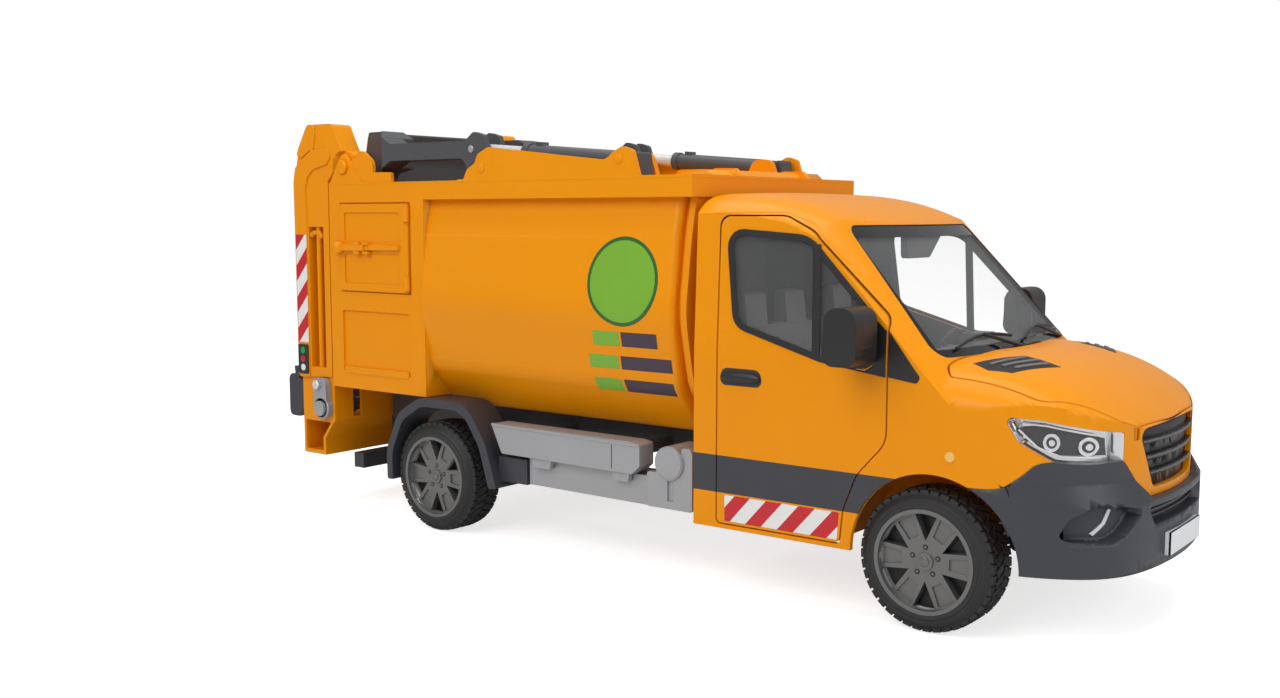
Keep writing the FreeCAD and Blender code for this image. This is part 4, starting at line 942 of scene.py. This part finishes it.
def make_bumper_dress():
    skin = Drape("x", 1, "front_bumper")
    for side, name in SIDES:
        strip = skin.strip(Form(), mirrored(FOG_STRIP, side, 0), *FOG_BEAD, cell=1.5)
        piece("fog_strip_" + name, strip, BRIGHT, "truck")
        corner = Form().prism(BUMPER_CORNER, "y", *(side * y for y in BUMPER_CORNER_Y))
        piece("bumper_corner_" + name, corner, SLATE, "truck")
    mouth = skin.sheet(Form(), rounded(INTAKE, 2), 0.1)
    piece("intake_face", mouth, BLACK, "truck")
    slats = Form()
    for z in SLATS:
        skin.strip(slats, [(-SLAT_HALF, z), (SLAT_HALF, z)], *SLAT_BEAD)
    piece("intake_slats", slats, SLATE, "truck")
    low, high = PLATE_Z
    border = Form()
    for y0, y1, z0, z1 in ((-PLATE_HALF, PLATE_HALF, high - PLATE_EDGE, high),
                           (-PLATE_HALF, PLATE_HALF, low, low + PLATE_EDGE),
                           (-PLATE_HALF, -PLATE_HALF + PLATE_EDGE, low, high),
                           (PLATE_HALF - PLATE_EDGE, PLATE_HALF, low, high)):
        border.block(*PLATE_X, y0, y1, z0, z1)
    piece("plate_border", border, SLATE, "truck")


INSTRUMENTS = [(20.0, 86.0, 1), (40.0, 86.0, 1), (38.0, 91.5, 2), (22.0, 91.5, 2)]
INSTRUMENTS_X = (-26.4, -19.0)
SEAM_X = (-71.0, -70.4)
SEAM_Z = (62.0, 92.0)
SEAMS = (27, -10, -38)


def make_cabin():
    hood = Form().prism(rounded(INSTRUMENTS), "x", *INSTRUMENTS_X)
    piece("instrument_hood", hood, BLACK, "truck")
    seams = Form()
    for y in SEAMS:
        seams.block(*SEAM_X, y - 0.4, y + 0.4, *SEAM_Z)
    piece("seat_seams", seams, BLACK, "truck")


# Container and tail

ROUND_STICKER = (-125.9, 111.4)
ROUND_LAYERS = ((17.0, DEEP_GREEN, "rim", 0.06), (15.6, GREEN, "face", 0.11))
# Each bar: rear end, where green turns to navy, front end, foot and top
BARS = ((-140.8, -128.0, -109.8, 86.6, 92.2), (-143.9, -129.5, -104.2, 77.6, 82.8),
        (-142.9, -129.5, -100.8, 68.6, 73.6))
BAR_GAP = 1.2


def make_barrel_stickers():
    for side, name in SIDES:
        skin = Drape("y", side, "container")
        for radius, finish, label, height in ROUND_LAYERS:
            layer = skin.sheet(Form(), disc(radius, 48, *ROUND_STICKER), height)
            piece("sticker_round_%s_%s" % (label, name), layer, finish, "truck")
        for k, (rear, change, front, low, high) in enumerate(BARS):
            parts = ((rear, change, GREEN), (change + BAR_GAP, front, NAVY))
            for part, (a, b, finish) in enumerate(parts):
                bar = skin.sheet(Form(), [(a, low), (b, low), (b, high), (a, high)], STICKER)
                piece("sticker_bar_%d_%d_%s" % (k, part, name), bar, finish, "truck")


LATCH_PIVOT_X = -288.6
LATCH_PIVOT = [(2.3, 119.6), (2.6, 120.4), (2.6, 123.4), (2.0, 124.6)]
LATCH_BAR_X = (-288.0, -271.0)
LATCH_BAR_Z = (120.6, 123.4)
KEEPERS_X = (-277.5, -271.5)
KEEPER_LONG = 3.6
KEEPERS_Z = (119.8, 123.8)
LEDGE = [(-288.0, 64.9, 0.6), (-245.5, 64.9, 0.6), (-245.5, 68.0, 0.6), (-288.0, 68.0, 0.6)]


def make_hatch_dress():
    for side, name in SIDES:
        body = "side_hatch_" + name
        face = side * BODY_SIDE
        latch = Form().turned(LATCH_PIVOT, "z", LATCH_PIVOT_X, *outward(face, 1.8), 16)
        latch.block(*LATCH_BAR_X, *outward(face, 1.2, 2.9), *LATCH_BAR_Z)
        piece("hatch_latch_" + name, latch, ORANGE, body)
        keeper = Form()
        for x in KEEPERS_X:
            for z in KEEPERS_Z:
                keeper.block(x, x + KEEPER_LONG, *outward(face, 0.6, 3.0), z - 0.6, z + 0.6)
        piece("hatch_keeper_" + name, keeper, ORANGE, body)
        ledge = Form().prism(rounded(LEDGE), "y", *outward(face, -0.9, 0.35))
        piece("panel_ledge_" + name, ledge, ORANGE, "truck")


TOWER_PANEL = [(-320.6, 77.2), (-313.2, 77.2), (-313.0, 127.4), (-320.8, 127.4)]
LAMP_UNIT = [(-320.6, 62.4, 1), (-313.4, 62.4, 1), (-313.4, 76.2, 0.5), (-320.6, 76.2, 0.5)]
LAMP_X = -317.0
LAMPS = ((73.4, LAMP_GREEN, "top"), (69.4, LAMP_RED, "mid"), (65.4, PLATE, "low"))
LAMP_LENS = [(1.6, 0.0), (1.6, 0.6), (1.1, 0.8)]
GRAB_RAIL = ((-311.4, 127.0), (-309.4, 128.4), (-305.4, 128.4), (-303.6, 126.0))
GRAB_Y = BODY_SIDE - 1.2
GRAB_R = 1.2
TAIL_HINGE = (-286.7, 157.9)
TAIL_HINGE_FACE = BODY_SIDE + 0.6
TAIL_HINGE_BOSS = [(3.1, -0.4), (3.1, 0.5), (2.5, 0.9)]


def make_tower_dress():
    for side, name in SIDES:
        skin = Drape("y", side, "tailgate")
        panel = skin.sheet(Form(), TOWER_PANEL, STICKER)
        piece("tower_stripes_" + name, panel, STRIPES, "tailgate")
        face = side * GEAR_SIDE
        unit = Form().prism(rounded(LAMP_UNIT), "y", *outward(face, -1.0, 0.45))
        piece("tail_lamp_unit_" + name, unit, BLACK, "tailgate")
        for z, finish, label in LAMPS:
            lens = Form().boss(LAMP_LENS, face, LAMP_X, z, 16)
            piece("tail_lamp_%s_%s" % (label, name), lens, finish, "tailgate")
        rail = Form().tube([(x, side * GRAB_Y, z) for x, z in GRAB_RAIL], GRAB_R, 10)
        piece("grab_top_" + name, rail, ORANGE, "tailgate")
        hinge = Form().boss(TAIL_HINGE_BOSS, side * TAIL_HINGE_FACE, *TAIL_HINGE)
        piece("hinge_boss_" + name, hinge, ORANGE, "truck")


LIFT_FACE = BODY_SIDE + 3.6
LIFT_DRUM = [(4.9, -5.0), (5.2, -4.6), (5.2, -1.6), (4.7, -1.2)]
LIFT_CAP = [(3.6, -1.4), (3.6, 0.1), (3.1, 0.3)]
LIFT_BOLT = [(2.4, -1.0), (2.4, 0.3), (1.9, 0.6)]
LIFT_BOLT_PLACE = (TAIL - 8.2, 58.2)


def make_lift_dress():
    for side, name in SIDES:
        face = side * LIFT_FACE
        cap = Form().boss(LIFT_DRUM, face, *LIFT)
        cap.boss(LIFT_CAP, face, *LIFT)
        piece("lift_cap_" + name, cap, SILVER, "tailgate")
        bolt = Form().boss(LIFT_BOLT, face, *LIFT_BOLT_PLACE, 6)
        piece("lift_bolt_" + name, bolt, BRIGHT, "tailgate")


FOOT_X = -123.4
FOOT_TOP = 160.2
FOOT_HALF = 4.4
ROOF_PINS = ((-200.2, 155.6), (-128.0, 157.6))
ROOF_PIN = [(2.0, -0.3), (2.0, 0.25), (1.5, 0.45)]
# The arm's pin is dark grey; drawn in silver, its colour is a painted highlight for the small
# glint on it.
ARM_PIN_GLINT_PLACE = (-209.0, 163.7)
ARM_PIN_GLINT_FACE = BODY_SIDE - 3.3
ARM_PIN_GLINT = [(1.5, -0.2), (1.5, 0.4), (1.1, 0.6)]


def make_roof_dress():
    roof = Drape("z", 1, "roof_frame")
    for side, name in SIDES:
        base = roof.point(FOOT_X, side * CYLINDER_Y, -0.3).z
        outline = rounded([(FOOT_X - 1.6, base), (FOOT_X - 1.6, FOOT_TOP, 1.2),
                           (FOOT_X + 0.8, FOOT_TOP, 1.2), (FOOT_X + 1.6, base)])
        foot = Form().prism(outline, "y", side * (CYLINDER_Y - FOOT_HALF),
                            side * (CYLINDER_Y + FOOT_HALF))
        piece("cylinder_foot_" + name, foot, DARK, "truck")
        for k, place in enumerate(ROOF_PINS):
            pin = Form().boss(ROOF_PIN, side * BODY_SIDE, *place, 20)
            piece("roof_pin_%d_%s" % (k, name), pin, ORANGE, "truck")
        # Real pin, with silver as its painted highlight.
        boss = Form().boss(ARM_PIN_GLINT, side * ARM_PIN_GLINT_FACE, *ARM_PIN_GLINT_PLACE, 16)
        piece("arm_pin_glint_" + name, boss, SILVER, "packer")


RAIL_LIP = [(-195.0, 49.6), (-118.2, 48.8), (-118.2, 49.9, 0.4), (-195.4, 50.7, 0.4)]
RAIL_SEAM_X = (-131.4, -131.0)
RAIL_SEAM_Z = (39.2, 48.6)
DRUM = (-104.2, 44.2)
DRUM_FACE = [(5.9, -0.6), (5.9, -0.2)]


def make_side_dress():
    for side, name in SIDES:
        face = side * GEAR_SIDE
        lip = Form().prism(rounded(RAIL_LIP), "y", *outward(face, -1.0, 0.25))
        piece("rail_lip_" + name, lip, SILVER, "truck")
        seam = Form().block(*RAIL_SEAM_X, *outward(face, -0.5, 0.06), *RAIL_SEAM_Z)
        piece("rail_seam_" + name, seam, DARK, "truck")
        drum = Form().boss(DRUM_FACE, face, *DRUM, 32)
        piece("drum_face_" + name, drum, SILVER, "truck")


SPECIAL = {"windscreen": SCREEN, "cylinder_rod_right": BRIGHT, "cylinder_rod_left": BRIGHT}
SPECIAL.update({"rim_%s_%s" % (axle, name): RIM
                for axle in ("front", "rear") for _, name in SIDES})
for node_name in sorted(frame["nodes"]):
    if not node_name.startswith("tyre_"):
        dress(node_name, SPECIAL.get(node_name))

make_wheels()
make_door_dress()
make_mirrors()
make_screen_dress()
make_bonnet_dress()
make_cab_painted_shade()
make_headlamps()
make_grille_highlights()
make_bumper_dress()
make_cabin()
make_barrel_stickers()
make_hatch_dress()
make_tower_dress()
make_lift_dress()
make_roof_dress()
make_side_dress()


# Floor, light and camera

FLOOR_HALF = 3.0
FLOOR_WHITE = (0.72, 0.72, 0.72)
WORLD_LEVEL = 0.4
# Each light: place, aim, power, width and height in metres
LIGHTS = {
    "key": ((-150, -750, 600), (-100, 0, 60), 3.4, 0.7, 0.5),
    "fill": ((700, -100, 420), (0, 0, 60), 1.7, 0.5, 0.5),
    "top": ((-120, 0, 800), (-120, 0, 0), 3.6, 0.9, 0.6),
}
CAMERA_PLACE = (183.0, -447.9, 136.3)
CAMERA_TILT = 84.18
CAMERA_TURN = 37.80


def make_floor():
    """Floor that the camera sees as white, and that keeps the truck's shadow."""
    h = FLOOR_HALF
    mesh = bpy.data.meshes.new("floor")
    mesh.from_pydata([(-h, -h, 0), (h, -h, 0), (h, h, 0), (-h, h, 0)], [], [(0, 1, 2, 3)])
    floor = bpy.data.objects.new("floor", mesh)
    bpy.context.scene.collection.objects.link(floor)
    pale = Finish("floor_white", FLOOR_WHITE, 0.7, None, Specular_IOR_Level=0.1,
                  Emission_Strength=1.0)
    seen = pale.node("ShaderNodeLightPath", output="Is Camera Ray")
    pale.paint(Emission_Color=pale.mix(seen, (0.0, 0.0, 0.0, 1.0), FLOOR_WHITE))
    mesh.materials.append(pale.material)


def make_world():
    """White to the camera and through glass, and dimmer as a light."""
    world = bpy.data.worlds.new("studio")
    bpy.context.scene.world = world
    world.use_nodes = True
    studio = Wiring(world.node_tree)
    seen = (studio.node("ShaderNodeLightPath", output="Is Camera Ray")
            | studio.node("ShaderNodeLightPath", output="Is Transmission Ray"))
    background = world.node_tree.nodes["Background"]
    studio.feed(background.inputs["Color"], (1, 1, 1, 1))
    studio.feed(background.inputs["Strength"], WORLD_LEVEL + seen * (1 - WORLD_LEVEL))


def make_light(name, place, aim, power, width, height):
    data = bpy.data.lights.new(name, "AREA")
    data.energy = power
    data.shape = "RECTANGLE"
    data.size = width
    data.size_y = height
    made = bpy.data.objects.new(name, data)
    bpy.context.scene.collection.objects.link(made)
    made.location = at(*place)
    made.rotation_euler = (at(*aim) - at(*place)).to_track_quat("-Z", "Y").to_euler()


make_floor()
make_world()
for light_name, facts in LIGHTS.items():
    make_light(light_name, *facts)

camera = bpy.data.objects.new("camera", bpy.data.cameras.new("camera"))
bpy.context.scene.collection.objects.link(camera)
camera.data.sensor_width = 36.0
camera.data.lens = 36.87
camera.data.clip_start = 0.01
camera.location = at(*CAMERA_PLACE)
camera.rotation_euler = (math.radians(CAMERA_TILT), 0.0, math.radians(CAMERA_TURN))
bpy.context.scene.camera = camera
bpy.context.scene.view_settings.view_transform = "Standard"
